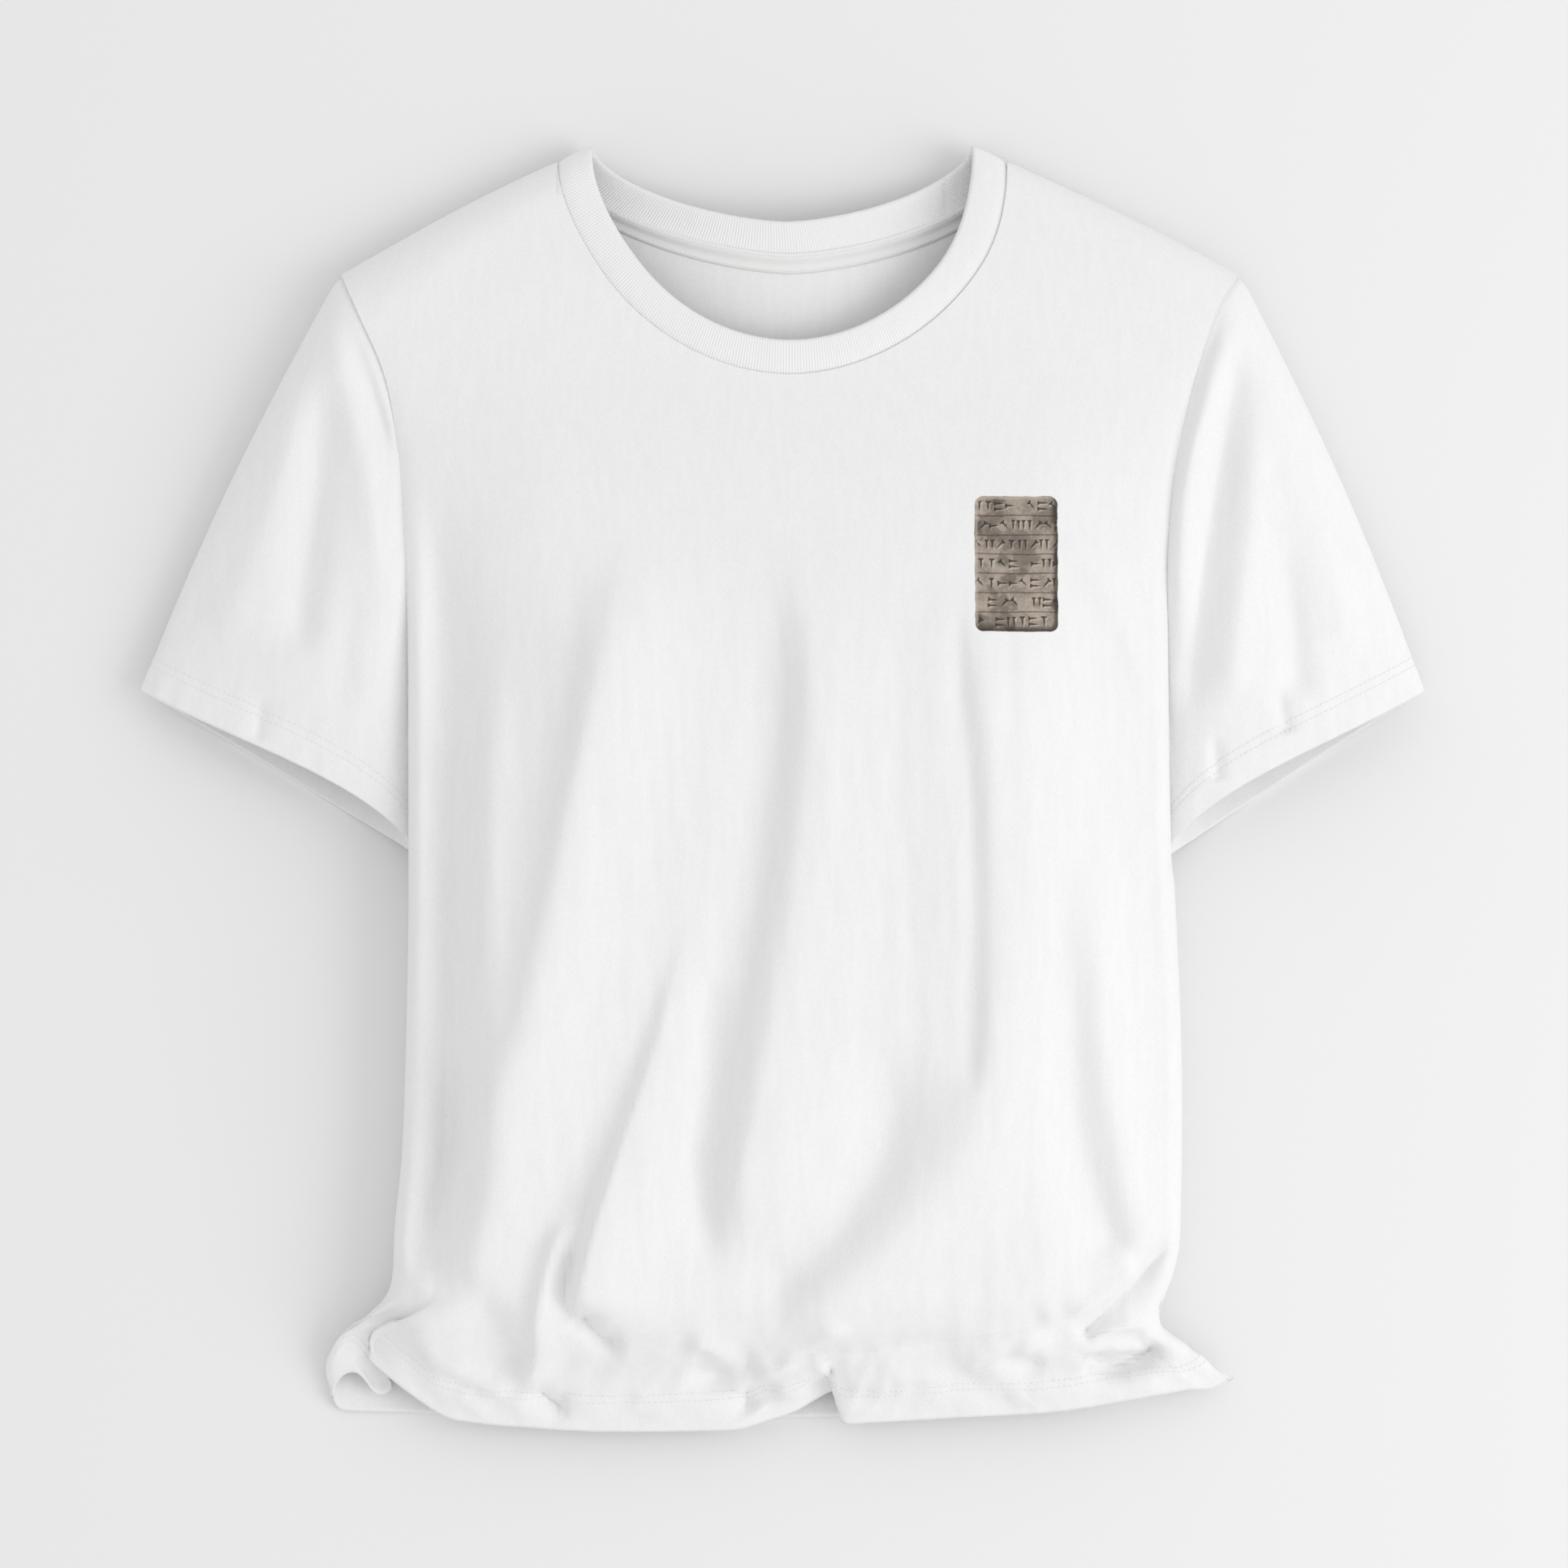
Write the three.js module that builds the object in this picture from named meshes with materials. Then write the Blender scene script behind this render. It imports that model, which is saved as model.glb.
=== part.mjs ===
// A short-sleeved crew-neck T-shirt in white cotton jersey, lying on its back with its cloth still open.
// Millimetres. +X runs to the wearer's left sleeve, +Y from the hem to the collar, +Z up from the surface.
// The origin is below the middle of its outline. Each panel is the cloth itself: a thin shell with open ends.
import * as THREE from "three";

// Cloth and sewing
const CLOTH = 0.8; // jersey thickness
const RIB = 1.6; // the collar is the rib folded double
const TAPE = 0.8; // thickness of the tape inside the back neck
const SEAM_GAP = 0.35; // clearance between pieces that are sewn edge to edge
const HEM_TURN = 22; // depth of the turned hem at the bottom
const CUFF_TURN = 19; // depth of the turned hem on a sleeve

// The outline as the shirt lies
const LENGTH = 680; // collar tip to the lowest point of the hem
const CHEST_HALF = 200; // half the width of the body at the chest
const SHOULDER_HALF = 237; // half the distance between the shoulder tips
const SHOULDER_DROP = 60; // fall of the shoulder seam from collar to sleeve
const SHOULDER_BOW = 2; // how far the shoulder seam bows up
const ARMHOLE_DROP = 204; // shoulder tip to armpit, along Y
const ARMHOLE_CURVE = 48; // length over which the armhole runs in to the body's side
const CORNER_LIFT = 24; // how far the hem's corners lie above its lowest point
const CORNER_TURN_LEFT = 8; // how abruptly the hem turns up to its -X corner, as a power
const CORNER_TURN_RIGHT = 2.2; // and to its +X corner
const FLARE_DEPTH = 62; // height over the hem at which its corners start to spread
const BODY_SHIFT = 4; // the body lies this far to +X of the collar

// The neck
const NECK_HALF = 118.5; // half the width at the collar's seam
const FRONT_NECK_DROP = 111; // depth of the front neckline at the seam
const BACK_NECK_DROP = 51; // depth of the back neckline at the seam
const COLLAR_WIDTH = 17.5; // width of the rib at the front
const COLLAR_TIP = 8.5; // rise of the folded collar past the end of the shoulder seam
const COLLAR_LIFT = 3; // how far the collar's free edge stands up from the chest
const TAPE_WIDTH = 11; // width of the tape inside the back neck
const TAPE_SHARE = 0.68; // share of the back neckline that lies flat enough for it

// The sleeves
const SLEEVE_LENGTH = 243; // shoulder tip to cuff, along the outer fold
const SLEEVE_SLOPE = 65; // degrees that the outer fold falls below the shoulder's level
const CUFF_HALF_ROUND = 162; // width of the flattened cuff
const CUFF_SLOPE = 32; // degrees that the cuff's edge falls towards the body
const CUFF_PULL = 11; // how far the upper edge of the cuff is drawn back from the lower
const SLEEVE_BULGE = 5; // how far the outer fold bows out
const UNDERARM_CLEARANCE = 3; // gap between the sleeve's underarm and the body's side

// Heights over the surface it lies on
const SHOULDER_SEAM_RISE = 13;
const SIDE_SEAM_RISE = 28;
const HEM_CORNER_RISE = 9;
const ARMHOLE_RISE = 42; // top of the front armhole seam
const SLEEVE_CROWN = 26; // height of a sleeve's upper layer over its folds
const CUFF_CROWN = 19;
const CUFF_INNER_RISE = 15;
const SIDE_ROUND = 36; // radius at which the front rolls over to the side seam
const SHOULDER_ROUND = 20; // the same at the collar end of the shoulder
const SHOULDER_TIP_ROUND = 40; // and at its sleeve end
// Height of the front's middle at shares of the length, from the collar tips to the hem.
const CROWN_LINE = [
  [0, 26],
  [0.1, 38],
  [0.18, 52],
  [0.33, 66],
  [0.6, 70],
  [0.8, 62],
  [0.9, 46],
  [1, 22],
];

// Half the body's width at shares of the length, from the armpit to the hem's corner, on the -X and +X sides.
const LEFT_SIDE = [
  [0.4, 201],
  [0.645, 201],
  [0.77, 203],
  [0.885, 211],
  [0.92, 228],
  [0.94, 240],
  [0.965, 246],
];
const RIGHT_SIDE = [
  [0.4, 199],
  [0.58, 203],
  [0.707, 206],
  [0.834, 206],
  [0.916, 196],
  [0.943, 208],
  [0.965, 234],
];

// Exponents of the rounded curves (2 is an ellipse)
const FRONT_NECK_POWER = 1.75;
const BACK_NECK_POWER = 1.45;
const COLLAR_EDGE_POWER = 1.8;

const TOP_Y = LENGTH / 2;
const HEM_Y = -LENGTH / 2;
const NECK_Y = TOP_Y - COLLAR_TIP;
const SHOULDER_Y = NECK_Y - SHOULDER_DROP;
const ARMPIT_Y = SHOULDER_Y - ARMHOLE_DROP;
const COLLAR_HALF = NECK_HALF - COLLAR_WIDTH;

// The soft folds of the front. Each follows a path of [share of the chest's half width, share of the length],
// with its height (a valley is negative) and its reach to the -X and +X sides, in millimetres.
const FOLDS = [
  {
    name: "left side valley",
    rise: -15,
    reach: [17, 20],
    path: [[-0.86, 0.36], [-0.86, 0.59], [-0.88, 0.74], [-0.94, 0.9]],
  },
  {
    name: "left sweep",
    rise: 13,
    reach: [28, 32],
    path: [[-0.34, 0.3], [-0.48, 0.55], [-0.59, 0.665], [-0.75, 0.805], [-0.98, 0.93]],
  },
  {
    name: "valley beside the peak",
    rise: -14,
    reach: [26, 24],
    path: [[-0.27, 0.58], [-0.39, 0.69], [-0.58, 0.83], [-0.64, 0.93]],
  },
  {
    name: "peak",
    rise: 13,
    reach: [24, 24],
    path: [[-0.23, 0.57], [-0.27, 0.665], [-0.45, 0.82], [-0.49, 0.92]],
  },
  {
    name: "middle valley",
    rise: -14,
    reach: [30, 28],
    path: [[-0.005, 0.29], [-0.045, 0.55], [-0.11, 0.665], [-0.21, 0.9]],
  },
  {
    name: "middle ridge",
    rise: 9,
    reach: [30, 34],
    path: [[0.21, 0.3], [0.13, 0.587], [0.02, 0.704], [-0.05, 0.93]],
  },
  {
    name: "lower valley",
    rise: -9,
    reach: [26, 24],
    path: [[0.26, 0.66], [0.28, 0.766], [0.18, 0.844], [0.02, 0.92]],
  },
  {
    name: "right sweep",
    rise: 10,
    reach: [24, 28],
    path: [[0.53, 0.36], [0.602, 0.626], [0.55, 0.727], [0.39, 0.82], [0.18, 0.92]],
  },
  {
    name: "right side valley",
    rise: -10,
    reach: [20, 18],
    path: [[0.76, 0.4], [0.78, 0.587], [0.79, 0.704], [0.82, 0.82], [0.88, 0.88]],
  },
];
const FOLD_FADE = 0.07; // share of the length over which a fold comes up and dies away

// Mesh steps
const ARMHOLE_ROWS = 11;
const LOWER_ROWS = 16; // below the armpit
const FRONT_NECK_STEPS = 12; // half the front neckline
const BACK_NECK_STEPS = 7;
const FRONT_SHOULDER_STEPS = 7; // one shoulder seam
const BACK_SHOULDER_STEPS = 4;
const SLEEVE_STEPS = 6;
const NECK_SHARE = 0.62; // share of the panel's columns, from the middle, that end on the neckline
const FAN = 3; // how fast the columns spread below the neckline
const HEM_STEP = 1; // width of the step where the hem's second layer ends

const radians = THREE.MathUtils.degToRad;
const { clamp, lerp } = THREE.MathUtils;

/** 0 at from, 1 at to, smooth between; from may be the larger. */
function ramp(x, from, to) {
  const share = clamp((x - from) / (to - from), 0, 1);
  return share * share * (3 - 2 * share);
}

/** Height of a quarter round of radius r at distance d in from its edge, from 0 to 1. */
function quarterRound(d, r) {
  const inside = clamp(1 - d / r, 0, 1);
  return Math.sqrt(1 - inside * inside);
}

/** A smooth curve through [x, y] points, as a function of the coordinate numbered by. */
function curveThrough(points, by) {
  const of = 1 - by;
  return (at) => {
    const last = points.length - 2;
    let k = points.findIndex((p) => p[by] > at) - 1;
    if (k < 0) k = at < points[0][by] ? 0 : last;
    const [a, b] = [points[k], points[k + 1]];
    const before = points[Math.max(k - 1, 0)];
    const after = points[Math.min(k + 2, last + 1)];
    const s = clamp((at - a[by]) / (b[by] - a[by]), 0, 1);
    const step = b[by] - a[by];
    const slopeA = (b[of] - before[of]) / (b[by] - before[by]);
    const slopeB = (after[of] - a[of]) / (after[by] - a[by]);
    const [s2, s3] = [s * s, s * s * s];
    return (
      (2 * s3 - 3 * s2 + 1) * a[of] +
      (s3 - 2 * s2 + s) * step * slopeA +
      (3 * s2 - 2 * s3) * b[of] +
      (s3 - s2) * step * slopeB
    );
  };
}

/** A point on a rounded curve, a quarter turn from its lowest point (0) to its end at half (1). */
function neckPoint(share, half, top, drop, power) {
  const angle = (share * Math.PI) / 2;
  const x = half * Math.pow(Math.sin(angle), 2 / power);
  const y = top - drop * Math.pow(Math.max(Math.cos(angle), 0), 2 / power);
  return new THREE.Vector2(x, y);
}

const frontNeck = (share) => neckPoint(share, NECK_HALF, NECK_Y, FRONT_NECK_DROP, FRONT_NECK_POWER);
const backNeck = (share) => neckPoint(share, NECK_HALF, NECK_Y, BACK_NECK_DROP, BACK_NECK_POWER);
const frontFreeEdge = (share) =>
  neckPoint(share, COLLAR_HALF, TOP_Y, FRONT_NECK_DROP + COLLAR_TIP - COLLAR_WIDTH, COLLAR_EDGE_POWER);
const backFreeEdge = (share) => {
  const drop = BACK_NECK_DROP + COLLAR_TIP - COLLAR_WIDTH + SEAM_GAP;
  return neckPoint(share, COLLAR_HALF, TOP_Y, drop, BACK_NECK_POWER);
};

/** Y of the shirt's upper outline, at x from its middle: the shoulder seam, and the collar's tip. */
function outlineTop(x) {
  const across = Math.abs(x);
  if (across < NECK_HALF) return lerp(TOP_Y, NECK_Y, clamp((across - COLLAR_HALF) / COLLAR_WIDTH, 0, 1));
  const share = clamp((across - NECK_HALF) / (SHOULDER_HALF - NECK_HALF), 0, 1);
  return NECK_Y - SHOULDER_DROP * share + SHOULDER_BOW * Math.sin(Math.PI * share);
}

const lengthShare = (y) => (TOP_Y - y) / LENGTH;
const leftSide = curveThrough(LEFT_SIDE, 0);
const rightSide = curveThrough(RIGHT_SIDE, 0);

/** Half the width of the body at y, on the side that x is on: the armhole, the side and the hem's corner. */
function halfWidth(y, x) {
  const side = x < 0 ? leftSide : rightSide;
  const below = side(Math.max(lengthShare(y), lengthShare(ARMPIT_Y)));
  return below + (SHOULDER_HALF - below) * Math.exp(-Math.max(SHOULDER_Y - y, 0) / ARMHOLE_CURVE);
}

const hemY = (q) => HEM_Y + CORNER_LIFT * Math.abs(q) ** (q < 0 ? CORNER_TURN_LEFT : CORNER_TURN_RIGHT);
const crownLine = curveThrough(CROWN_LINE, 0);
const foldPaths = FOLDS.map((fold) => curveThrough(fold.path, 1));

/** Height that the folds add to the front at (x, y). */
function foldHeight(x, y) {
  const v = lengthShare(y);
  return FOLDS.reduce((sum, fold, i) => {
    const start = fold.path[0][1];
    const end = fold.path[fold.path.length - 1][1];
    const strength = ramp(v, start, start + FOLD_FADE) * ramp(-v, -end - FOLD_FADE, -end);
    const off = x - foldPaths[i](v) * CHEST_HALF;
    const reach = off < 0 ? fold.reach[0] : fold.reach[1];
    return sum + fold.rise * strength * Math.exp(-((off / reach) ** 2));
  }, 0);
}

/** Height of the side seam, or of the armhole seam above the armpit, at y. */
function edgeHeight(y, armholeHeight) {
  const seam = lerp(SIDE_SEAM_RISE, HEM_CORNER_RISE, ramp(y, HEM_Y + FLARE_DEPTH * 2, HEM_Y + CORNER_LIFT));
  return lerp(seam, armholeHeight, ramp(y, ARMPIT_Y, ARMPIT_Y + ARMHOLE_DROP / 3));
}

/** How far (x, y) is over the rounding of the side and of the shoulder, each from 0 at the edge to 1. */
function rounding(x, y) {
  const tip = ramp(Math.abs(x), NECK_HALF, SHOULDER_HALF);
  const side = quarterRound(halfWidth(y, x) - Math.abs(x), SIDE_ROUND);
  const shoulder = quarterRound(outlineTop(x) - y, lerp(SHOULDER_ROUND, SHOULDER_TIP_ROUND, tip));
  return { side, shoulder };
}

/** Height of the front's outer face. */
function frontHeight(x, y) {
  const { side, shoulder } = rounding(x, y);
  const edge = edgeHeight(y, ARMHOLE_RISE);
  const cloth = edge + (crownLine(lengthShare(y)) - edge) * side + foldHeight(x, y) * side;
  return SHOULDER_SEAM_RISE + (cloth - SHOULDER_SEAM_RISE) * shoulder;
}

/** Height of the back's outer face, which lies flat but for its rounded edges. */
function backHeight(x, y) {
  const { side, shoulder } = rounding(x, y);
  const cloth = edgeHeight(y, 0) * (1 - side);
  return SHOULDER_SEAM_RISE * (1 - shoulder) + cloth * shoulder;
}

/** A point of the finished shirt: the body lies to one side of the collar, and the sleeves even that out. */
function laid(x, y, z) {
  const below = ramp(y, NECK_Y, SHOULDER_Y);
  const within = 1 - ramp(Math.abs(x), SHOULDER_HALF + BODY_SHIFT, SHOULDER_HALF * 1.4);
  return new THREE.Vector3(x + BODY_SHIFT * below * within, y, z);
}

/** Steps from 0 to 1 that crowd towards both ends. */
const crowded = (count) =>
  Array.from({ length: count + 1 }, (_, i) => (1 - Math.cos((Math.PI * i) / count)) / 2);

/** Shares of the armhole, from shoulder tip to armpit, at which panels and sleeve have their rows. */
const armholeShares = crowded(ARMHOLE_ROWS);

/** Shares of a column, from its top to the hem, at which both panels have their rows. */
function rowShares() {
  const whole = SHOULDER_Y - hemY(1);
  const armpit = ARMHOLE_DROP / whole;
  const turn = 1 - HEM_TURN / whole;
  const lower = Array.from({ length: LOWER_ROWS }, (_, i) => lerp(armpit, turn, (i + 1) / LOWER_ROWS));
  return [...armholeShares.map((s) => s * armpit), ...lower, turn + HEM_STEP / whole, (1 + turn) / 2, 1];
}

/** Columns of a panel from its middle to its side, each with its top and its share of the half width. */
function columns(neck, neckSteps, shoulderSteps) {
  const half = [];
  for (let i = 0; i <= neckSteps; i++) {
    half.push({ top: neck(i / neckSteps), q: (NECK_SHARE * i) / neckSteps });
  }
  for (let i = 1; i <= shoulderSteps; i++) {
    const share = Math.sin((Math.PI * i) / (2 * shoulderSteps));
    const x = lerp(NECK_HALF, SHOULDER_HALF, share);
    half.push({ top: new THREE.Vector2(x, outlineTop(x)), q: lerp(NECK_SHARE, 1, share) });
  }
  const mirrored = half.slice(1).map((c) => ({ top: new THREE.Vector2(-c.top.x, c.top.y), q: -c.q }));
  return [...mirrored.reverse(), ...half];
}

/** Plan position on a body panel: t runs down the column from its top point to the hem. */
function panelPoint({ top, q }, t) {
  const y = lerp(top.y, hemY(q), t);
  const sideY = lerp(SHOULDER_Y, hemY(1), t);
  const spread = top.x - q * SHOULDER_HALF;
  return new THREE.Vector2(q * halfWidth(sideY, q) + spread * (1 - t) ** FAN, y);
}

/**
 * A closed shell from a grid of points on its outer face. The thickness goes in behind that face, and level
 * where sewn(i, j) is true, so that two panels meet edge to edge. grid[i][j] runs along i and then j, and a
 * looped grid joins its last i to its first.
 */
function shell(grid, thickness, looped, sewn = () => false) {
  const [wide, long] = [grid.length, grid[0].length];
  const wrap = (i) => (looped ? (i + wide) % wide : clamp(i, 0, wide - 1));
  const at = (i, j) => grid[wrap(i)][clamp(j, 0, long - 1)];
  const positions = [];
  for (const layer of [0, 1]) {
    for (let i = 0; i < wide; i++) {
      for (let j = 0; j < long; j++) {
        const along = new THREE.Vector3().subVectors(at(i + 1, j), at(i - 1, j));
        const down = new THREE.Vector3().subVectors(at(i, j + 1), at(i, j - 1));
        const inward = along.cross(down);
        if (sewn(i, j)) inward.setZ(0);
        inward.normalize();
        positions.push(...grid[i][j].clone().addScaledVector(inward, layer * thickness(i, j)).toArray());
      }
    }
  }
  const index = (layer, i, j) => layer * wide * long + wrap(i) * long + j;
  const faces = [];
  const quad = (a, b, c, d) => faces.push(a, b, c, a, c, d);
  const spans = looped ? wide : wide - 1;
  for (let i = 0; i < spans; i++) {
    for (let j = 0; j < long - 1; j++) {
      quad(index(0, i, j), index(0, i, j + 1), index(0, i + 1, j + 1), index(0, i + 1, j));
      quad(index(1, i, j), index(1, i + 1, j), index(1, i + 1, j + 1), index(1, i, j + 1));
    }
    quad(index(0, i, 0), index(0, i + 1, 0), index(1, i + 1, 0), index(1, i, 0));
    quad(index(0, i + 1, long - 1), index(0, i, long - 1), index(1, i, long - 1), index(1, i + 1, long - 1));
  }
  if (!looped) {
    for (let j = 0; j < long - 1; j++) {
      quad(index(0, 0, j + 1), index(0, 0, j), index(1, 0, j), index(1, 0, j + 1));
      const [outer, inner] = [index(0, wide - 1, j), index(1, wide - 1, j)];
      quad(outer, outer + 1, inner + 1, inner);
    }
  }
  const geometry = new THREE.BufferGeometry();
  geometry.setAttribute("position", new THREE.Float32BufferAttribute(positions, 3));
  geometry.setIndex(faces);
  return geometry;
}

const jersey = new THREE.MeshStandardMaterial({ color: 0xf1f1f0, roughness: 0.92, metalness: 0 });
const ribKnit = new THREE.MeshStandardMaterial({ color: 0xf0f0ef, roughness: 0.94, metalness: 0 });
const twillTape = new THREE.MeshStandardMaterial({ color: 0xeeeeec, roughness: 0.95, metalness: 0 });

function named(name, geometry, material) {
  const mesh = new THREE.Mesh(geometry, material);
  mesh.name = name;
  return mesh;
}

/** A body panel, front or back, with half the seam's gap left at every edge that is sewn across it. */
function bodyPanel(name, neck, steps, height, side) {
  const { neckSteps, shoulderSteps } = steps;
  const rows = rowShares();
  const strips = columns(neck, neckSteps, shoulderSteps);
  if (side < 0) strips.reverse();
  const sewn = (i, j) =>
    Math.abs(strips[i].q) > 0.999 || (j === 0 && Math.abs(strips[i].q) > NECK_SHARE - 0.001);
  const grid = strips.map((column, i) =>
    rows.map((t, j) => {
      const p = panelPoint(column, t);
      const z = height(p.x, p.y) + (sewn(i, j) ? (side * SEAM_GAP) / 2 : 0);
      return laid(p.x, p.y, Math.max(z, 0));
    }),
  );
  const turned = rows.length - 3;
  return named(name, shell(grid, (i, j) => (j >= turned ? 2 * CLOTH : CLOTH), false, sewn), jersey);
}

/**
 * Plan position on a sleeve, measured from the middle towards its side (1 for +X). w runs from armhole to
 * cuff and c from the outer fold to the underarm; the upper face (layer 1) is drawn back at the cuff.
 */
function sleevePlan(side, w, c, layer) {
  const y = SHOULDER_Y - ARMHOLE_DROP * c;
  const armhole = new THREE.Vector2(halfWidth(y, side), y);
  const slope = radians(SLEEVE_SLOPE);
  const outer = new THREE.Vector2(SHOULDER_HALF, SHOULDER_Y);
  outer.x += SLEEVE_LENGTH * Math.cos(slope);
  outer.y -= SLEEVE_LENGTH * Math.sin(slope);
  const cuff = radians(CUFF_SLOPE);
  const inner = outer.clone();
  inner.x -= CUFF_HALF_ROUND * Math.cos(cuff);
  inner.y -= CUFF_HALF_ROUND * Math.sin(cuff);
  inner.x = Math.max(inner.x, halfWidth(inner.y, side) + UNDERARM_CLEARANCE);
  const plan = armhole.lerp(outer.lerp(inner, c), w);
  plan.x += SLEEVE_BULGE * Math.sin(Math.PI * w) * (1 - c) + (SEAM_GAP + CLOTH * (2 * c - 1) ** 2) * (1 - w);
  const drawn = layer > 0 ? CUFF_PULL * w * w * Math.sin(Math.PI * c * c) ** 0.6 : 0;
  return plan.add(new THREE.Vector2(-Math.sin(cuff), Math.cos(cuff)).multiplyScalar(drawn));
}

/** Height of a sleeve's upper (layer 1) or lower (layer -1) face. */
function sleeveHeight(side, w, c, layer) {
  const y = SHOULDER_Y - ARMHOLE_DROP * c;
  const x = side * halfWidth(y, side);
  const armhole = layer > 0 ? frontHeight(x, y) : backHeight(x, y);
  const fold = lerp(SHOULDER_SEAM_RISE, CUFF_INNER_RISE, c);
  const crown = Math.sin(Math.PI * c);
  const cuff = layer > 0 ? fold + CUFF_CROWN * Math.sqrt(crown) : fold * (1 - Math.sqrt(crown));
  const fuller = layer > 0 ? (SLEEVE_CROWN - CUFF_CROWN) * Math.sin(Math.PI * w) * crown : 0;
  return lerp(armhole, cuff, ramp(w, 0, 1)) + fuller;
}

/** A sleeve: one loop of cloth from the armhole to the cuff. side is 1 for the sleeve on the +X side. */
function sleeve(name, side) {
  const upper = armholeShares.map((c) => ({ c, layer: 1 }));
  const lower = armholeShares.slice(1, -1).map((c) => ({ c, layer: -1 }));
  const around = [...upper, ...lower.reverse()];
  const turn = 1 - CUFF_TURN / SLEEVE_LENGTH;
  const steps = Array.from({ length: SLEEVE_STEPS + 1 }, (_, i) => (turn * i) / SLEEVE_STEPS);
  const along = [...steps, turn + HEM_STEP / SLEEVE_LENGTH, 1];
  const grid = around.map(({ c, layer }) =>
    along.map((w) => {
      const plan = sleevePlan(side, w, c, layer);
      return laid(side * plan.x, plan.y, sleeveHeight(side, w, c, layer));
    }),
  );
  if (side > 0) grid.reverse();
  const turned = along.length - 2;
  return named(name, shell(grid, (i, j) => (j >= turned ? 2 * CLOTH : CLOTH), true), jersey);
}

/** The rib collar: a loop that continues the front at its seam, folds at the shoulders, lies on the back. */
function collar() {
  const across = [0, 0.5, 1];
  const half = (steps, from, to) => {
    const shares = Array.from({ length: steps + 1 }, (_, i) => i / steps);
    return shares.map((s) => ({ seam: from(s), edge: to(s) }));
  };
  const front = half(FRONT_NECK_STEPS, frontNeck, frontFreeEdge);
  const back = half(BACK_NECK_STEPS, backNeck, backFreeEdge);
  const station = ({ seam, edge }, side, height, lift) =>
    across.map((k) => {
      const tip = seam.x / NECK_HALF;
      const gap = (SEAM_GAP + RIB * tip ** 4) / seam.distanceTo(edge);
      const p = seam.clone().lerp(edge, gap + k * (1 - gap));
      return laid(side * p.x, p.y, height(p.x, p.y) + lift * k);
    });
  const rising = (i) => COLLAR_LIFT * Math.sin((Math.PI / 2) * (1 - i / FRONT_NECK_STEPS));
  const frontRight = front.map((s, i) => station(s, 1, frontHeight, rising(i)));
  const frontLeft = front.slice(1).map((s, i) => station(s, -1, frontHeight, rising(i + 1)));
  const backRight = back.slice(0, -1).map((s) => station(s, 1, backHeight, 0));
  const backLeft = back.slice(1, -1).map((s) => station(s, -1, backHeight, 0));
  const grid = [...frontLeft.reverse(), ...frontRight, ...backRight.reverse(), ...backLeft];
  return named("collar_rib", shell(grid.reverse(), () => RIB, true), ribKnit);
}

/** A point at a lift off the back panel's outer face, square to it. */
function offBack(x, y, lift) {
  const step = 0.5;
  const across = (backHeight(x + step, y) - backHeight(x - step, y)) / (2 * step);
  const down = (backHeight(x, y + step) - backHeight(x, y - step)) / (2 * step);
  const normal = new THREE.Vector3(-across, -down, 1).normalize();
  return laid(x, y, backHeight(x, y)).addScaledVector(normal, lift);
}

/** The tape over the neck seam, lying on the inside of the back panel. */
function neckTape() {
  const lift = CLOTH + SEAM_GAP + TAPE;
  const shares = Array.from({ length: BACK_NECK_STEPS + 1 }, (_, i) => (TAPE_SHARE * i) / BACK_NECK_STEPS);
  const half = shares.map(backNeck);
  const stations = [...half.slice(1).map((p) => new THREE.Vector2(-p.x, p.y)).reverse(), ...half];
  const grid = stations.map((p) =>
    [0, 1].map((k) => {
      return offBack(p.x, p.y - SEAM_GAP - k * TAPE_WIDTH, lift);
    }),
  );
  return named("neck_tape", shell(grid, () => TAPE, false), twillTape);
}

const frontSteps = { neckSteps: FRONT_NECK_STEPS, shoulderSteps: FRONT_SHOULDER_STEPS };
const backSteps = { neckSteps: BACK_NECK_STEPS, shoulderSteps: BACK_SHOULDER_STEPS };

const shirt = new THREE.Group();
shirt.name = "t_shirt";
shirt.add(
  bodyPanel("front_body", frontNeck, frontSteps, frontHeight, 1),
  bodyPanel("back_body", backNeck, backSteps, backHeight, -1),
  sleeve("left_sleeve", 1),
  sleeve("right_sleeve", -1),
  collar(),
  neckTape(),
);

export default shirt;
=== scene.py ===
"""Looks of a white crew-neck T-shirt that lies on its back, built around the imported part.

Each panel is one layer of cloth with its own thickness, shaped by the shirt's outline and by soft folds that
follow named paths. All lengths here are in millimetres in the row frame, and become metres when a mesh is
made: +X runs to the wearer's left sleeve, +Y from the hem to the collar and +Z up from the floor.
"""

from __future__ import annotations

import logging
import math
from dataclasses import dataclass, replace
from enum import Enum
from typing import Sequence

import bpy
import numpy as np
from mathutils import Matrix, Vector

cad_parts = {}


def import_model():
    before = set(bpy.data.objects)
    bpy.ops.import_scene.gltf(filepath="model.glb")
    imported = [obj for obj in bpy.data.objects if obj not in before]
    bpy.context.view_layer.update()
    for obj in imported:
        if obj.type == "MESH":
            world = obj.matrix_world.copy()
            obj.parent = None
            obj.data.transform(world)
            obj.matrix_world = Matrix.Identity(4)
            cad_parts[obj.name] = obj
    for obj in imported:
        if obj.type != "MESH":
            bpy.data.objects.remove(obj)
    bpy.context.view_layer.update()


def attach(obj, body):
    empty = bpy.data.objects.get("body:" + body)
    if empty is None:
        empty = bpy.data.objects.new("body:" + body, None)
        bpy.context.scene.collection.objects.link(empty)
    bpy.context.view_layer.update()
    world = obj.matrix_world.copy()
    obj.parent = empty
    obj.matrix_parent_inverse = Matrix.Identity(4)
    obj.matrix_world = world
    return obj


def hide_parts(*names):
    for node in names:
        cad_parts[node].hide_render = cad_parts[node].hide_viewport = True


MM = 0.001
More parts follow.
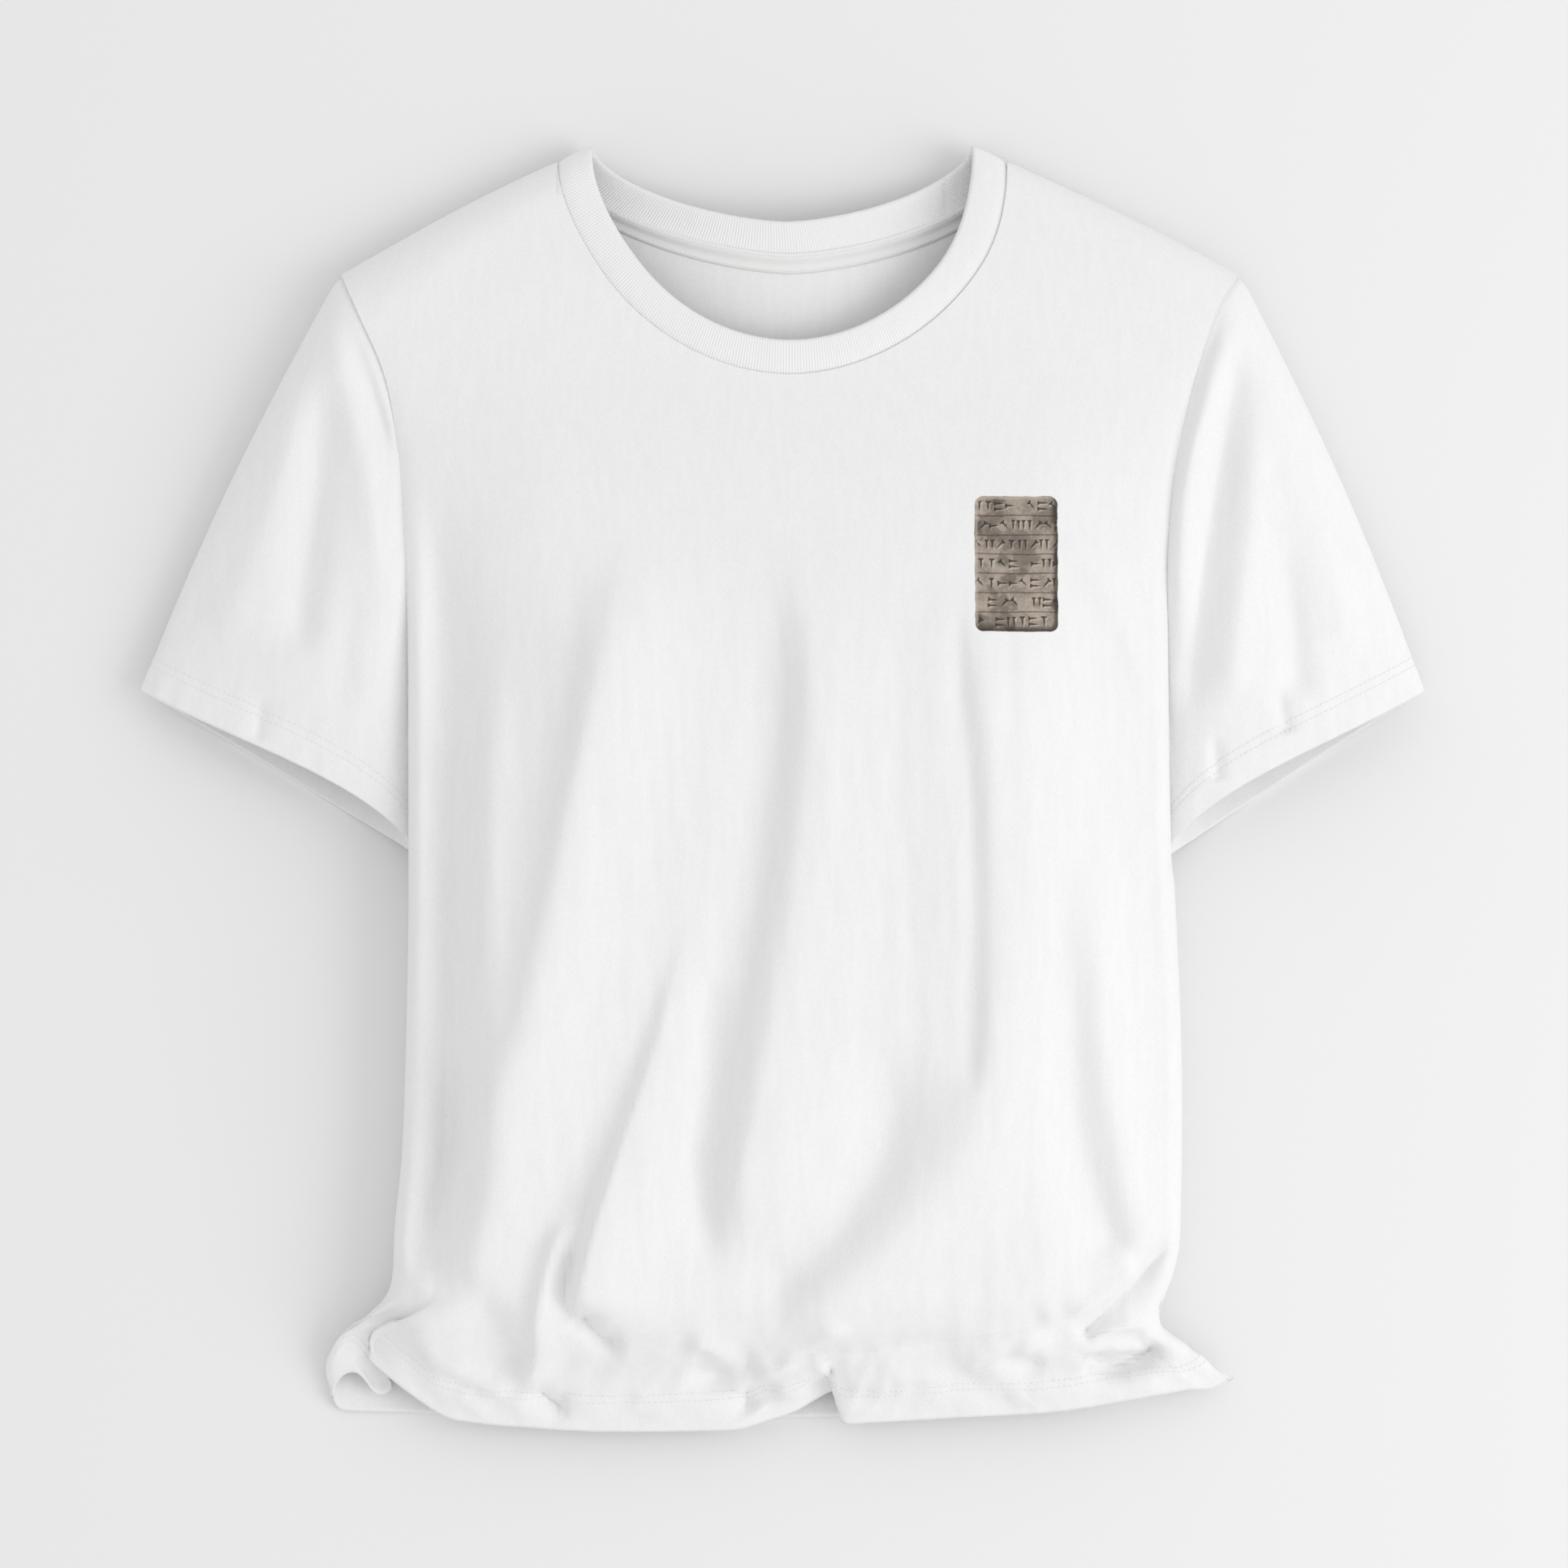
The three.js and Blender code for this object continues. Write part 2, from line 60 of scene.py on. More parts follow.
Point = tuple[float, float]

log = logging.getLogger("t_shirt")


def ramp(x: np.ndarray | float, start: float, end: float) -> np.ndarray:
    """A smooth step.

    Args:
        x: Where it is wanted.
        start: Where the step is 0. It may be larger than end.
        end: Where the step is 1.

    Returns:
        The step at x, from 0 to 1.
    """
    share = np.clip((np.asarray(x, float) - start) / (end - start), 0.0, 1.0)
    return share * share * (3.0 - 2.0 * share)


def mix(a: np.ndarray | float, b: np.ndarray | float, share: np.ndarray | float) -> np.ndarray:
    """A blend of two values.

    Args:
        a: The value at share 0.
        b: The value at share 1.
        share: How far from a to b.

    Returns:
        The blended value.
    """
    return np.asarray(a + (np.asarray(b) - a) * share)


def quarter_round(inset: np.ndarray, radius: np.ndarray | float) -> np.ndarray:
    """Height of a quarter circle.

    Args:
        inset: Distance in from its edge.
        radius: Its radius.

    Returns:
        Its height as a share of the radius, from 0 at the edge to 1.
    """
    share = np.clip(1.0 - inset / radius, 0.0, 1.0)
    return np.sqrt(1.0 - share * share)


def smooth_path(points: Sequence[Sequence[float]], count: int) -> np.ndarray:
    """A smooth curve through points.

    Args:
        points: The points, each with any number of coordinates.
        count: How many points to return.

    Returns:
        The curve as rows of coordinates, evenly numbered between its points.
    """
    p = np.asarray(points, float)
    ends = np.vstack([2 * p[0] - p[1], p, 2 * p[-1] - p[-2]])
    u = np.linspace(0, len(p) - 1 - 1e-9, count)
    k = u.astype(int)
    s = (u - k)[:, None]
    a, b, c, d = ends[k], ends[k + 1], ends[k + 2], ends[k + 3]
    return 0.5 * (2 * b + (c - a) * s + (2 * a - 5 * b + 4 * c - d) * s**2 + (3 * b - a - 3 * c + d) * s**3)


def value_noise(x: np.ndarray, y: np.ndarray, seed: int) -> np.ndarray:
    """Smooth random values over the plane, with one cell to each unit.

    Args:
        x: First coordinates.
        y: Second coordinates.
        seed: Picks the pattern.

    Returns:
        Values from -1 to 1.
    """
    size = 128
    lattice = np.random.default_rng(seed).uniform(-1, 1, (size, size))
    column, row = np.floor(x).astype(int), np.floor(y).astype(int)
    across, down = x - column, y - row
    across, down = across * across * (3 - 2 * across), down * down * (3 - 2 * down)
    near, far = column % size, (column + 1) % size
    low, high = row % size, (row + 1) % size
    first = lattice[near, low] * (1 - across) + lattice[far, low] * across
    second = lattice[near, high] * (1 - across) + lattice[far, high] * across
    return first * (1 - down) + second * down


@dataclass(frozen=True)
class Fold:
    """One soft fold of the cloth, along a path that is read downwards or to the right.

    Attributes:
        name: What it is.
        path: Points of its crest, or of its floor, in plan.
        rise: Height of the crest. A valley's is negative.
        reach: How far it spreads to the left and to the right of its path.
        fade: Lengths over which it comes up at the start and dies away at the end.
        lean: How far the crest hangs over, towards the right.
        start: Strength at the start of the path, as a share of that at its end.
        crisp: How sharp its line is, from 0 for a soft swell to 1 for a crease.
    """

    name: str
    path: tuple[Point, ...]
    rise: float
    reach: Point
    fade: Point
    lean: float = 0.0
    start: float = 1.0
    crisp: float = 0.0

    def push(self, x: np.ndarray, y: np.ndarray) -> np.ndarray:
        """How far the fold moves points of the cloth.

        Args:
            x: First coordinates of the points in plan.
            y: Second coordinates.

        Returns:
            The displacement of each point, with three coordinates in the last axis.
        """
        line = smooth_path(self.path, 14 * (len(self.path) - 1) + 1)
        steps = np.diff(line, axis=0)
        lengths = np.hypot(steps[:, 0], steps[:, 1])
        before = np.concatenate([[0.0], np.cumsum(lengths)[:-1]])
        nearest = np.full(x.shape, np.inf)
        off, along = np.zeros(x.shape), np.zeros(x.shape)
        across = np.zeros((*x.shape, 2))
        for (px, py), (sx, sy), length, passed in zip(line[:-1], steps, lengths, before, strict=True):
            dx, dy = x - px, y - py
            share = np.clip((dx * sx + dy * sy) / length**2, 0, 1)
            gap = np.hypot(dx - share * sx, dy - share * sy)
            closer = gap < nearest
            side = np.where(sx * dy - sy * dx >= 0, 1.0, -1.0)
            nearest = np.where(closer, gap, nearest)
            off = np.where(closer, gap * side, off)
            along = np.where(closer, passed + share * length, along)
            across[closer] = (-sy / length, sx / length)
        total = float(lengths.sum())
        strength = mix(self.start, 1.0, along / total)
        if self.fade[0]:
            strength = strength * ramp(along, 0, self.fade[0])
        if self.fade[1]:
            strength = strength * ramp(along, total, total - self.fade[1])
        spread = np.where(off < 0, self.reach[0], self.reach[1])
        spread = spread * mix(0.45 + 0.55 * self.start, 1.0, along / total)
        shape = strength * np.exp(-((np.abs(off) / spread) ** (1.8 - 0.8 * self.crisp)))
        move = np.zeros((*x.shape, 3))
        move[..., 2] = self.rise * shape
        move[..., :2] = across * (self.lean * shape)[..., None]
        return move


def fold_push(folds: Sequence[Fold], x: np.ndarray, y: np.ndarray) -> np.ndarray:
    """The displacement that several folds give together.

    Args:
        folds: The folds.
        x: First coordinates of the points in plan.
        y: Second coordinates.

    Returns:
        The displacement of each point, with three coordinates in the last axis.
    """
    return sum((fold.push(x, y) for fold in folds), np.zeros((*x.shape, 3)))


# The front's folds: name, path, rise, reach to each side, fade at each end, lean, starting strength.
BODY_FOLDS = (
    Fold(
        "side strip valley",
        ((-187, 177), (-180, 74), (-175, -59), (-174, -192), (-189, -249)),
        -10,
        (9, 17), (95, 34),
    ),
    Fold(
        "lower left hollow",
        ((-167, -120), (-169, -184), (-180, -223), (-197, -260)),
        -16,
        (14, 18), (86, 22),
    ),
    Fold("left rib", ((-148, 91), (-154, -12), (-161, -120), (-169, -184)), 4, (9, 11), (86, 64)),
    Fold("left sweep valley", ((-102, 89), (-118, -6), (-139, -112), (-160, -181)), -5, (14, 9), (69, 64)),
    Fold(
        "left sweep",
        ((-75, 142), (-94, 52), (-108, -6), (-129, -98), (-157, -184), (-187, -236), (-225, -288)),
        15,
        (17, 34), (95, 47), -2,
    ),
    Fold(
        "peak",
        ((-48, -68), (-63, -129), (-80, -184), (-93, -227), (-103, -266), (-110, -292)),
        20,
        (9, 40), (0, 34), -5, 0,
    ),
    Fold(
        "valley right of the peak",
        ((-40, -86), (-34, -141), (-39, -193), (-41, -253)),
        -6,
        (9, 11), (34, 39),
    ),
    Fold(
        "middle valley",
        ((-4, 117), (1, 47), (-8, -33), (-21, -112), (-33, -192), (-40, -262)),
        -7,
        (17, 9), (73, 52),
    ),
    Fold(
        "middle ridge",
        ((9, 142), (17, 47), (12, -33), (-1, -112), (-17, -192), (-34, -253)),
        11,
        (20, 48), (95, 60), -2,
    ),
    Fold("right valley", ((89, 100), (97, 20), (101, -59), (100, -120), (97, -163)), -5, (11, 6), (56, 26)),
    Fold(
        "right ridge",
        ((93, 117), (103, 31), (107, -55), (111, -120), (99, -180), (67, -227), (20, -266), (-17, -290)),
        10,
        (27, 36), (77, 52), -1,
    ),
    Fold(
        "lower wedge",
        ((52, -120), (55, -180), (35, -223), (5, -255), (-21, -277)),
        -9,
        (23, 15), (56, 34),
    ),
    Fold("far right valley", ((144, -33), (147, -112), (155, -192), (177, -250)), -8, (19, 15), (129, 17)),
    Fold("far right ridge", ((161, 5), (166, -112), (175, -192), (188, -247)), 6.5, (12, 17), (112, 17)),
    Fold("flank ridge", ((187, -249), (167, -264), (147, -277)), 7, (6, 5), (9, 13), crisp=0.7),
    Fold("flank crease", ((208, -233), (187, -257), (156, -288)), -9, (5, 6), (15, 7), crisp=0.8),
    Fold("armpit crease", ((147, 142), (175, 91), (198, 39)), 2.5, (8, 12), (47, 17)),
    Fold(
        "pleat",
        ((-107, -215), (-118, -245), (-125, -275), (-126, -298), (-133, -317)),
        8,
        (6, 8), (26, 11), -2,
    ),
    Fold("pleat hollow", ((-103, -227), (-110, -253), (-108, -273), (-98, -287)), -6, (6, 7), (26, 13)),
    Fold("hollow under the peak", ((-102, -272), (-95, -285), (-80, -290)), -14, (6, 5), (5, 9), crisp=0.5),
    Fold("left hem hollow", ((-174, -245), (-152, -279), (-135, -309)), -9, (26, 10), (43, 13)),
    Fold("pinch", ((-130, -311), (-122, -320), (-110, -326)), -9, (5, 6), (6, 7), crisp=0.6),
    Fold("turned facet", ((-200, -294), (-174, -305), (-139, -323)), 4, (4, 13), (13, 17)),
    Fold("middle hem hollow", ((-51, -301), (-34, -307), (-11, -300)), -12, (10, 9), (9, 8)),
    Fold(
        "middle hem lip",
        ((-52, -291), (-36, -294), (-10, -309), (15, -294), (37, -279)),
        7,
        (5, 9), (9, 15), crisp=0.5,
    ),
    Fold("notch hollow", ((-22, -313), (-16, -330)), -10, (6, 6), (7, 6), crisp=0.4),
    Fold("notch swell", ((-8, -324), (11, -314), (25, -309)), 8, (9, 9), (10, 4)),
    Fold("hem line", ((9, -300), (50, -294), (93, -288), (141, -275)), -6, (6, 8), (34, 10), crisp=0.7),
    Fold("hem swell", ((20, -314), (58, -310), (101, -301), (144, -288)), 5, (10, 13), (30, 22)),
    Fold(
        "swirl hollow",
        ((161, -299), (175, -306), (189, -300), (200, -289)),
        -14,
        (6, 6), (7, 9), crisp=0.5,
    ),
    Fold("swirl ridge", ((158, -289), (174, -283), (193, -281), (203, -289)), 9, (4, 5), (7, 8), crisp=0.5),
    Fold("small hem hollow", ((114, -292), (124, -301), (138, -301)), -6, (9, 8), (6, 6)),
)

# Folds of the sleeve on the -X side, the wearer's right.
RIGHT_SLEEVE_FOLDS = (
    Fold("seam crease", ((-230, 267), (-222, 233), (-211, 198), (-204, 172)), -4, (6, 3), (17, 22)),
    Fold("inner ridge", ((-239, 254), (-229, 211), (-215, 151), (-208, 74)), 4, (10, 9), (39, 69)),
    Fold("long valley", ((-243, 228), (-243, 177), (-249, 121), (-255, 65)), -7, (11, 11), (47, 26)),
    Fold("outer ridge", ((-249, 233), (-264, 160), (-286, 99), (-299, 65)), 3.5, (12, 12), (47, 34)),
    Fold("cuff dimple", ((-307, 117), (-312, 82)), -2, (9, 9), (22, 13)),
    Fold("cuff pleat", ((-272, 52), (-276, 24)), -2.5, (4, 4), (13, 3)),
    Fold("inner dimple", ((-225, 117), (-229, 65), (-234, 31)), -2, (8, 8), (34, 26)),
)

# Folds of the sleeve on the +X side.
LEFT_SLEEVE_FOLDS = (
    Fold("inner ridge", ((236, 254), (221, 205), (210, 151), (207, 74)), 6, (7, 9), (26, 52)),
    Fold("inner valley", ((241, 246), (232, 184), (222, 125), (216, 74), (214, 31)), -6, (7, 10), (39, 26)),
    Fold("middle ridge", ((248, 215), (246, 151), (239, 91), (234, 39)), 4, (10, 9), (47, 26)),
    Fold("middle valley", ((260, 142), (268, 86), (271, 43)), -5, (10, 8), (47, 17)),
    Fold("outer ridge", ((273, 160), (293, 99), (303, 65)), 4, (11, 10), (47, 22)),
    Fold("cuff pleat", ((259, 56), (265, 28)), -3, (4, 4), (13, 3)),
    Fold("cuff pleat inner", ((226, 31), (229, 3)), -3, (4, 4), (13, 3)),
)


@dataclass(frozen=True)
class Cut:
    """Sizes of the shirt as it lies, shared by its pieces.

    Attributes:
        top: Y of the collar's tips.
        hem: Y of the lowest point of the hem.
        neck_half: Half the neck's width at the collar's seam.
        shoulder_half: Half the distance between the shoulder tips.
        shoulder_drop: Fall of the shoulder seam from collar to sleeve.
        armhole_drop: Shoulder tip to armpit, along Y.
        collar_width: Width of the rib.
        collar_tip: Rise of the folded collar past the shoulder seam.
        front_neck_drop: Depth of the front neckline at its seam.
        back_neck_drop: Depth of the back neckline at its seam.
        shift: How far the body lies to +X of the collar.
        shoulder_rise: Height of the shoulder seam over the floor.
        side_rise: Height of the side seam.
        armhole_rise: Height of the front armhole seam.
        cloth: Thickness of the jersey.
    """

    top: float = 340.0
    hem: float = -340.0
    neck_half: float = 118.5
    shoulder_half: float = 237.0
    shoulder_drop: float = 60.0
    armhole_drop: float = 204.0
    collar_width: float = 18.0
    collar_tip: float = 8.5
    front_neck_drop: float = 115.0
    back_neck_drop: float = 51.0
    shift: float = 4.0
    shoulder_rise: float = 13.0
    side_rise: float = 28.0
    armhole_rise: float = 38.0
    cloth: float = 0.8

    @property
    def neck_y(self) -> float:
        """Y of the collar's seam at the shoulder."""
        return self.top - self.collar_tip

    @property
    def shoulder_y(self) -> float:
        """Y of the shoulder tip."""
        return self.neck_y - self.shoulder_drop

    @property
    def armpit_y(self) -> float:
        """Y of the armpit."""
        return self.shoulder_y - self.armhole_drop

    @property
    def collar_half(self) -> float:
        """Half the neck's width at the collar's free edge."""
        return self.neck_half - self.collar_width


CUT = Cut()

# The body's left and right edges as [y, x], from the shoulder tips to the hem's corners.
LEFT_EDGE = (
    (271.5, -233.0),
    (245.0, -220.5),
    (215.0, -208.0),
    (177.0, -201.5),
    (125.0, -198.5),
    (67.0, -197.0),
    (-34.0, -196.5),
    (-98.0, -197.0),
    (-184.0, -199.5),
    (-227.0, -203.5),
    (-262.0, -206.5),
    (-278.0, -219.0),
    (-293.0, -236.0),
    (-309.0, -242.0),
    (-322.0, -240.0),
)
RIGHT_EDGE = (
    (271.5, 241.0),
    (245.0, 226.0),
    (194.0, 211.0),
    (138.0, 203.5),
    (67.0, 203.0),
    (-32.0, 204.5),
    (-56.0, 206.5),
    (-141.0, 210.0),
    (-227.0, 209.5),
    (-253.0, 206.5),
    (-281.0, 199.0),
    (-294.0, 211.0),
    (-305.0, 225.0),
    (-313.0, 238.0),
)
# Height of the front's middle at shares of the length, from the collar's tips to the hem.
CROWN = (
    (0.0, 26.0),
    (0.1, 36.0),
    (0.18, 42.0),
    (0.33, 62.0),
    (0.6, 69.0),
    (0.85, 62.0),
    (0.91, 55.0),
    (0.955, 29.0),
    (1.0, 17.0),
)


def edge_x(y: np.ndarray, side: int) -> np.ndarray:
    """X of the body's edge.

    Args:
        y: Where along the body.
        side: -1 for the -X edge and 1 for the +X edge.

    Returns:
        The edge's X at each y.
    """
    line = smooth_path(LEFT_EDGE if side < 0 else RIGHT_EDGE, 400)[::-1]
    return np.interp(y, line[:, 0], line[:, 1])


def middle_x(y: np.ndarray) -> np.ndarray:
    """X of the body's middle line.

    Args:
        y: Where along the body.

    Returns:
        The middle's X at each y.
    """
    return CUT.shift * ramp(y, CUT.neck_y, CUT.shoulder_y)


def outline_top(x: np.ndarray) -> np.ndarray:
    """Y of the shirt's upper outline: the shoulder seams and the collar's tips.

    Args:
        x: Where across the shirt, from its middle line.

    Returns:
        The outline's Y.
    """
    across = np.abs(x)
    share = np.clip((across - CUT.neck_half) / (CUT.shoulder_half - CUT.neck_half), 0, 1)
    seam = CUT.neck_y - CUT.shoulder_drop * share + 2.0 * np.sin(np.pi * share)
    tip = mix(CUT.top, CUT.neck_y, np.clip((across - CUT.collar_half) / CUT.collar_width, 0, 1))
    return np.where(across < CUT.neck_half, tip, seam)


def edge_height(y: np.ndarray, armhole: float) -> np.ndarray:
    """Height of the side seam, or of the armhole seam above the armpit.

    Args:
        y: Where along the body.
        armhole: Height of the armhole seam.

    Returns:
        The height.
    """
    seam = mix(CUT.side_rise, 9.0, ramp(y, CUT.hem + 110, CUT.hem + 26))
    return mix(seam, armhole, ramp(y, CUT.armpit_y, CUT.armpit_y + CUT.armhole_drop / 3))


def rounding(x: np.ndarray, y: np.ndarray) -> tuple[np.ndarray, np.ndarray]:
    """How far points are over the rounding of the side and of the shoulder.

    Args:
        x: First coordinates in plan.
        y: Second coordinates.

    Returns:
        The distance in from the side, and the share of the shoulder's rounding from 0 at the edge to 1.
    """
    inset = np.minimum(x - edge_x(y, -1), edge_x(y, 1) - x)
    off = x - middle_x(y)
    tip = ramp(np.abs(off), CUT.neck_half, CUT.shoulder_half)
    shoulder = quarter_round(outline_top(off) - y, mix(20.0, 40.0, tip))
    return np.maximum(inset, 0), shoulder


def front_height(x: np.ndarray, y: np.ndarray) -> np.ndarray:
    """Height of the front panel without its folds.

    Args:
        x: First coordinates in plan.
        y: Second coordinates.

    Returns:
        The height of its outer face.
    """
    inset, shoulder = rounding(x, y)
    crown_line = smooth_path(CROWN, 200)
    crown = np.interp((CUT.top - y) / (CUT.top - CUT.hem), crown_line[:, 0], crown_line[:, 1])
    edge = edge_height(y, CUT.armhole_rise)
    roll = edge + 0.42 * np.maximum(crown - edge, 0)
    at_armhole = ramp(y, CUT.armpit_y, CUT.armpit_y + 60)
    lip = mix(quarter_round(inset, 10.0), 1 - np.exp(-inset / 7.0), at_armhole)
    side = edge + (roll - edge) * lip
    left_slope = mix(ramp(inset, 0.0, 84.0), ramp(inset, 13.0, 52.0), ramp(y, 90, -90))
    cloth = side + (crown - roll) * np.where(x < 0, left_slope, ramp(inset, 0.0, 80.0))
    return CUT.shoulder_rise + (cloth - CUT.shoulder_rise) * shoulder


def back_height(x: np.ndarray, y: np.ndarray) -> np.ndarray:
    """Height of the back panel's outer face, which lies flat but for its rounded edges.

    Args:
        x: First coordinates in plan.
        y: Second coordinates.

    Returns:
        The height.
    """
    inset, shoulder = rounding(x, y)
    neck_swell = 22.0 * np.exp(-(((x - CUT.shift) / 100.0) ** 2)) * ramp(y, 140, 240)
    cloth = edge_height(y, 0.0) * (1 - quarter_round(inset, 36.0)) + neck_swell
    return CUT.shoulder_rise * (1 - shoulder) + cloth * shoulder


def neck_curve(share: np.ndarray, half: float, top: float, drop: float, power: float) -> np.ndarray:
    """A rounded neckline from its lowest point to its end at a shoulder.

    Args:
        share: 0 at the middle and 1 at the shoulder.
        half: Half its width.
        top: Y of its ends.
        drop: Its depth.
        power: 2 for an ellipse, and less for a pointed curve.

    Returns:
        Points in plan, with two coordinates in the last axis.
    """
    angle = np.asarray(share) * np.pi / 2
    x = half * np.sin(angle) ** (2 / power)
    y = top - drop * np.maximum(np.cos(angle), 0) ** (2 / power)
    return np.stack([x, y], -1)


class Neckline(Enum):
    """The two necklines of the shirt."""

    FRONT = "front"
    BACK = "back"

    def seam(self, share: np.ndarray) -> np.ndarray:
        """Points of the collar's seam.

        Args:
            share: 0 at the middle and 1 at the shoulder.

        Returns:
            Points in plan on the +X side.
        """
        if self is Neckline.FRONT:
            return neck_curve(share, CUT.neck_half, CUT.neck_y, CUT.front_neck_drop, 1.9)
        return neck_curve(share, CUT.neck_half, CUT.neck_y, CUT.back_neck_drop, 1.6)

    def free_edge(self, share: np.ndarray) -> np.ndarray:
        """Points of the collar's free edge.

        Args:
            share: 0 at the middle and 1 at the shoulder.

        Returns:
            Points in plan on the +X side.
        """
        drop = CUT.front_neck_drop if self is Neckline.FRONT else CUT.back_neck_drop
        power = 1.95 if self is Neckline.FRONT else 1.6
        return neck_curve(share, CUT.collar_half, CUT.top, drop + CUT.collar_tip - CUT.collar_width, power)


@dataclass
class Cloth:
    """A grid of points on the outer face of one layer of cloth.

    Attributes:
        points: Points as [column, row, coordinate], in millimetres.
        looped: True where the last column joins the first.
    """

    points: np.ndarray
    looped: bool = False
    upright: float = 0.0

    def inward(self) -> np.ndarray:
        """Unit vectors from the outer face into the cloth, one for each point."""
        if self.looped:
            along = np.roll(self.points, -1, 0) - np.roll(self.points, 1, 0)
        else:
            along = np.gradient(self.points, axis=0)
        down = np.gradient(self.points, axis=1)
        normal = np.cross(along, down)
        size = np.linalg.norm(normal, axis=-1, keepdims=True)
        sides = np.linalg.norm(along, axis=-1, keepdims=True) * np.linalg.norm(down, axis=-1, keepdims=True)
        normal = normal / np.maximum(size, 1e-9)
        if self.upright:
            straight = np.array([0.0, 0.0, self.upright])
            normal = mix(straight, normal, ramp(size / np.maximum(sides, 1e-9), 0.08, 0.45))
            normal = normal / np.linalg.norm(normal, axis=-1, keepdims=True)
        return normal

    def lifted(self, height: np.ndarray | float) -> "Cloth":
        """The same cloth moved square to its face.

        Args:
            height: How far out, for each point or for all.

        Returns:
            The moved cloth.
        """
        lift = np.asarray(height, float)
        lift = lift[..., None] if lift.ndim else lift
        return Cloth(self.points - self.inward() * lift, self.looped, self.upright)

    def from_end(self) -> np.ndarray:
        """Distance of each point from the last row, along its column."""
        steps = np.linalg.norm(np.diff(self.points, axis=1), axis=-1)
        back = np.cumsum(steps[:, ::-1], axis=1)[:, ::-1]
        return np.concatenate([back, np.zeros((len(back), 1))], axis=1)

    def mesh(
        self, name: str, thickness: np.ndarray | float, relief: np.ndarray | float = 0.0
    ) -> bpy.types.Mesh:
        """A closed shell whose thickness lies behind the outer face.

        Args:
            name: The mesh's name.
            thickness: Thickness of the cloth, for each point or for all.
            relief: How far both faces swell outwards, for each point or for all.

        Returns:
            The mesh, in metres.
        """
        wide, long, _ = self.points.shape
        deep = np.broadcast_to(np.asarray(thickness, float), (wide, long))[..., None]
        swell = np.broadcast_to(np.asarray(relief, float), (wide, long))[..., None]
        inward = self.inward()
        faces_at = [self.points - inward * swell, self.points + inward * (deep + swell)]
        verts = np.concatenate([side.reshape(-1, 3) for side in faces_at]) * MM
        spans = wide if self.looped else wide - 1
        i, j = np.meshgrid(np.arange(spans), np.arange(long - 1), indexing="ij")
        near, far = i * long + j, ((i + 1) % wide) * long + j
        count = wide * long
        outer = np.stack([near, near + 1, far + 1, far], -1).reshape(-1, 4)
        lining = outer[:, ::-1] + count
        k = np.arange(spans)
        start, after = k * long, ((k + 1) % wide) * long
        first = np.stack([start, after, after + count, start + count], -1)
        last = np.stack([after, start, start + count, after + count], -1) + long - 1
        faces = [outer, lining, first, last]
        if not self.looped:
            j = np.arange(long - 1)
            end = (wide - 1) * long + j
            faces.append(np.stack([j + 1, j, j + count, j + 1 + count], -1))
            faces.append(np.stack([end, end + 1, end + 1 + count, end + count], -1))
        mesh = bpy.data.meshes.new(name)
        mesh.from_pydata(verts.tolist(), [], np.concatenate(faces).tolist())
        mesh.polygons.foreach_set("use_smooth", np.ones(len(mesh.polygons), bool))
        mesh.update()
        return mesh


@dataclass(frozen=True)
class StitchRow:
    """Where one row of stitches runs.

    Attributes:
        points: Middles of the stitches, in millimetres.
        along: Unit vectors along the row.
        outward: Unit vectors out of the cloth.
    """

    points: np.ndarray
    along: np.ndarray
    outward: np.ndarray

    @staticmethod
    def on(cloth: Cloth, distance: float, pitch: float, columns: slice = slice(None)) -> "StitchRow":
        """A row at a distance from the last row of a cloth's grid.

        Args:
            cloth: The cloth that is sewn.
            distance: Distance from its last row, along each column.
            pitch: Distance between stitches.
            columns: The columns that the row crosses.

        Returns:
            The row of stitches.
        """
        back, inward = cloth.from_end(), cloth.inward()
        line, outward = [], []
        for column, normal, gone in zip(cloth.points[columns], inward[columns], back[columns], strict=True):
            line.append([np.interp(distance, gone[::-1], column[::-1, k]) for k in range(3)])
            outward.append([-np.interp(distance, gone[::-1], normal[::-1, k]) for k in range(3)])
        p, n = np.array(line), np.array(outward)
        passed = np.concatenate([[0], np.cumsum(np.linalg.norm(np.diff(p, axis=0), axis=1))])
        at = np.arange(pitch / 2, passed[-1], pitch)

        def sampled(values: np.ndarray, where: np.ndarray) -> np.ndarray:
            return np.stack([np.interp(where, passed, values[:, k]) for k in range(3)], -1)

        ahead = sampled(p, np.minimum(at + 1, passed[-1])) - sampled(p, np.maximum(at - 1, 0))
        along = ahead / np.maximum(np.linalg.norm(ahead, axis=1, keepdims=True), 1e-9)
        out = sampled(n, at)
        out /= np.maximum(np.linalg.norm(out, axis=1, keepdims=True), 1e-9)
        return StitchRow(sampled(p, at) + out * 0.12, along, out)


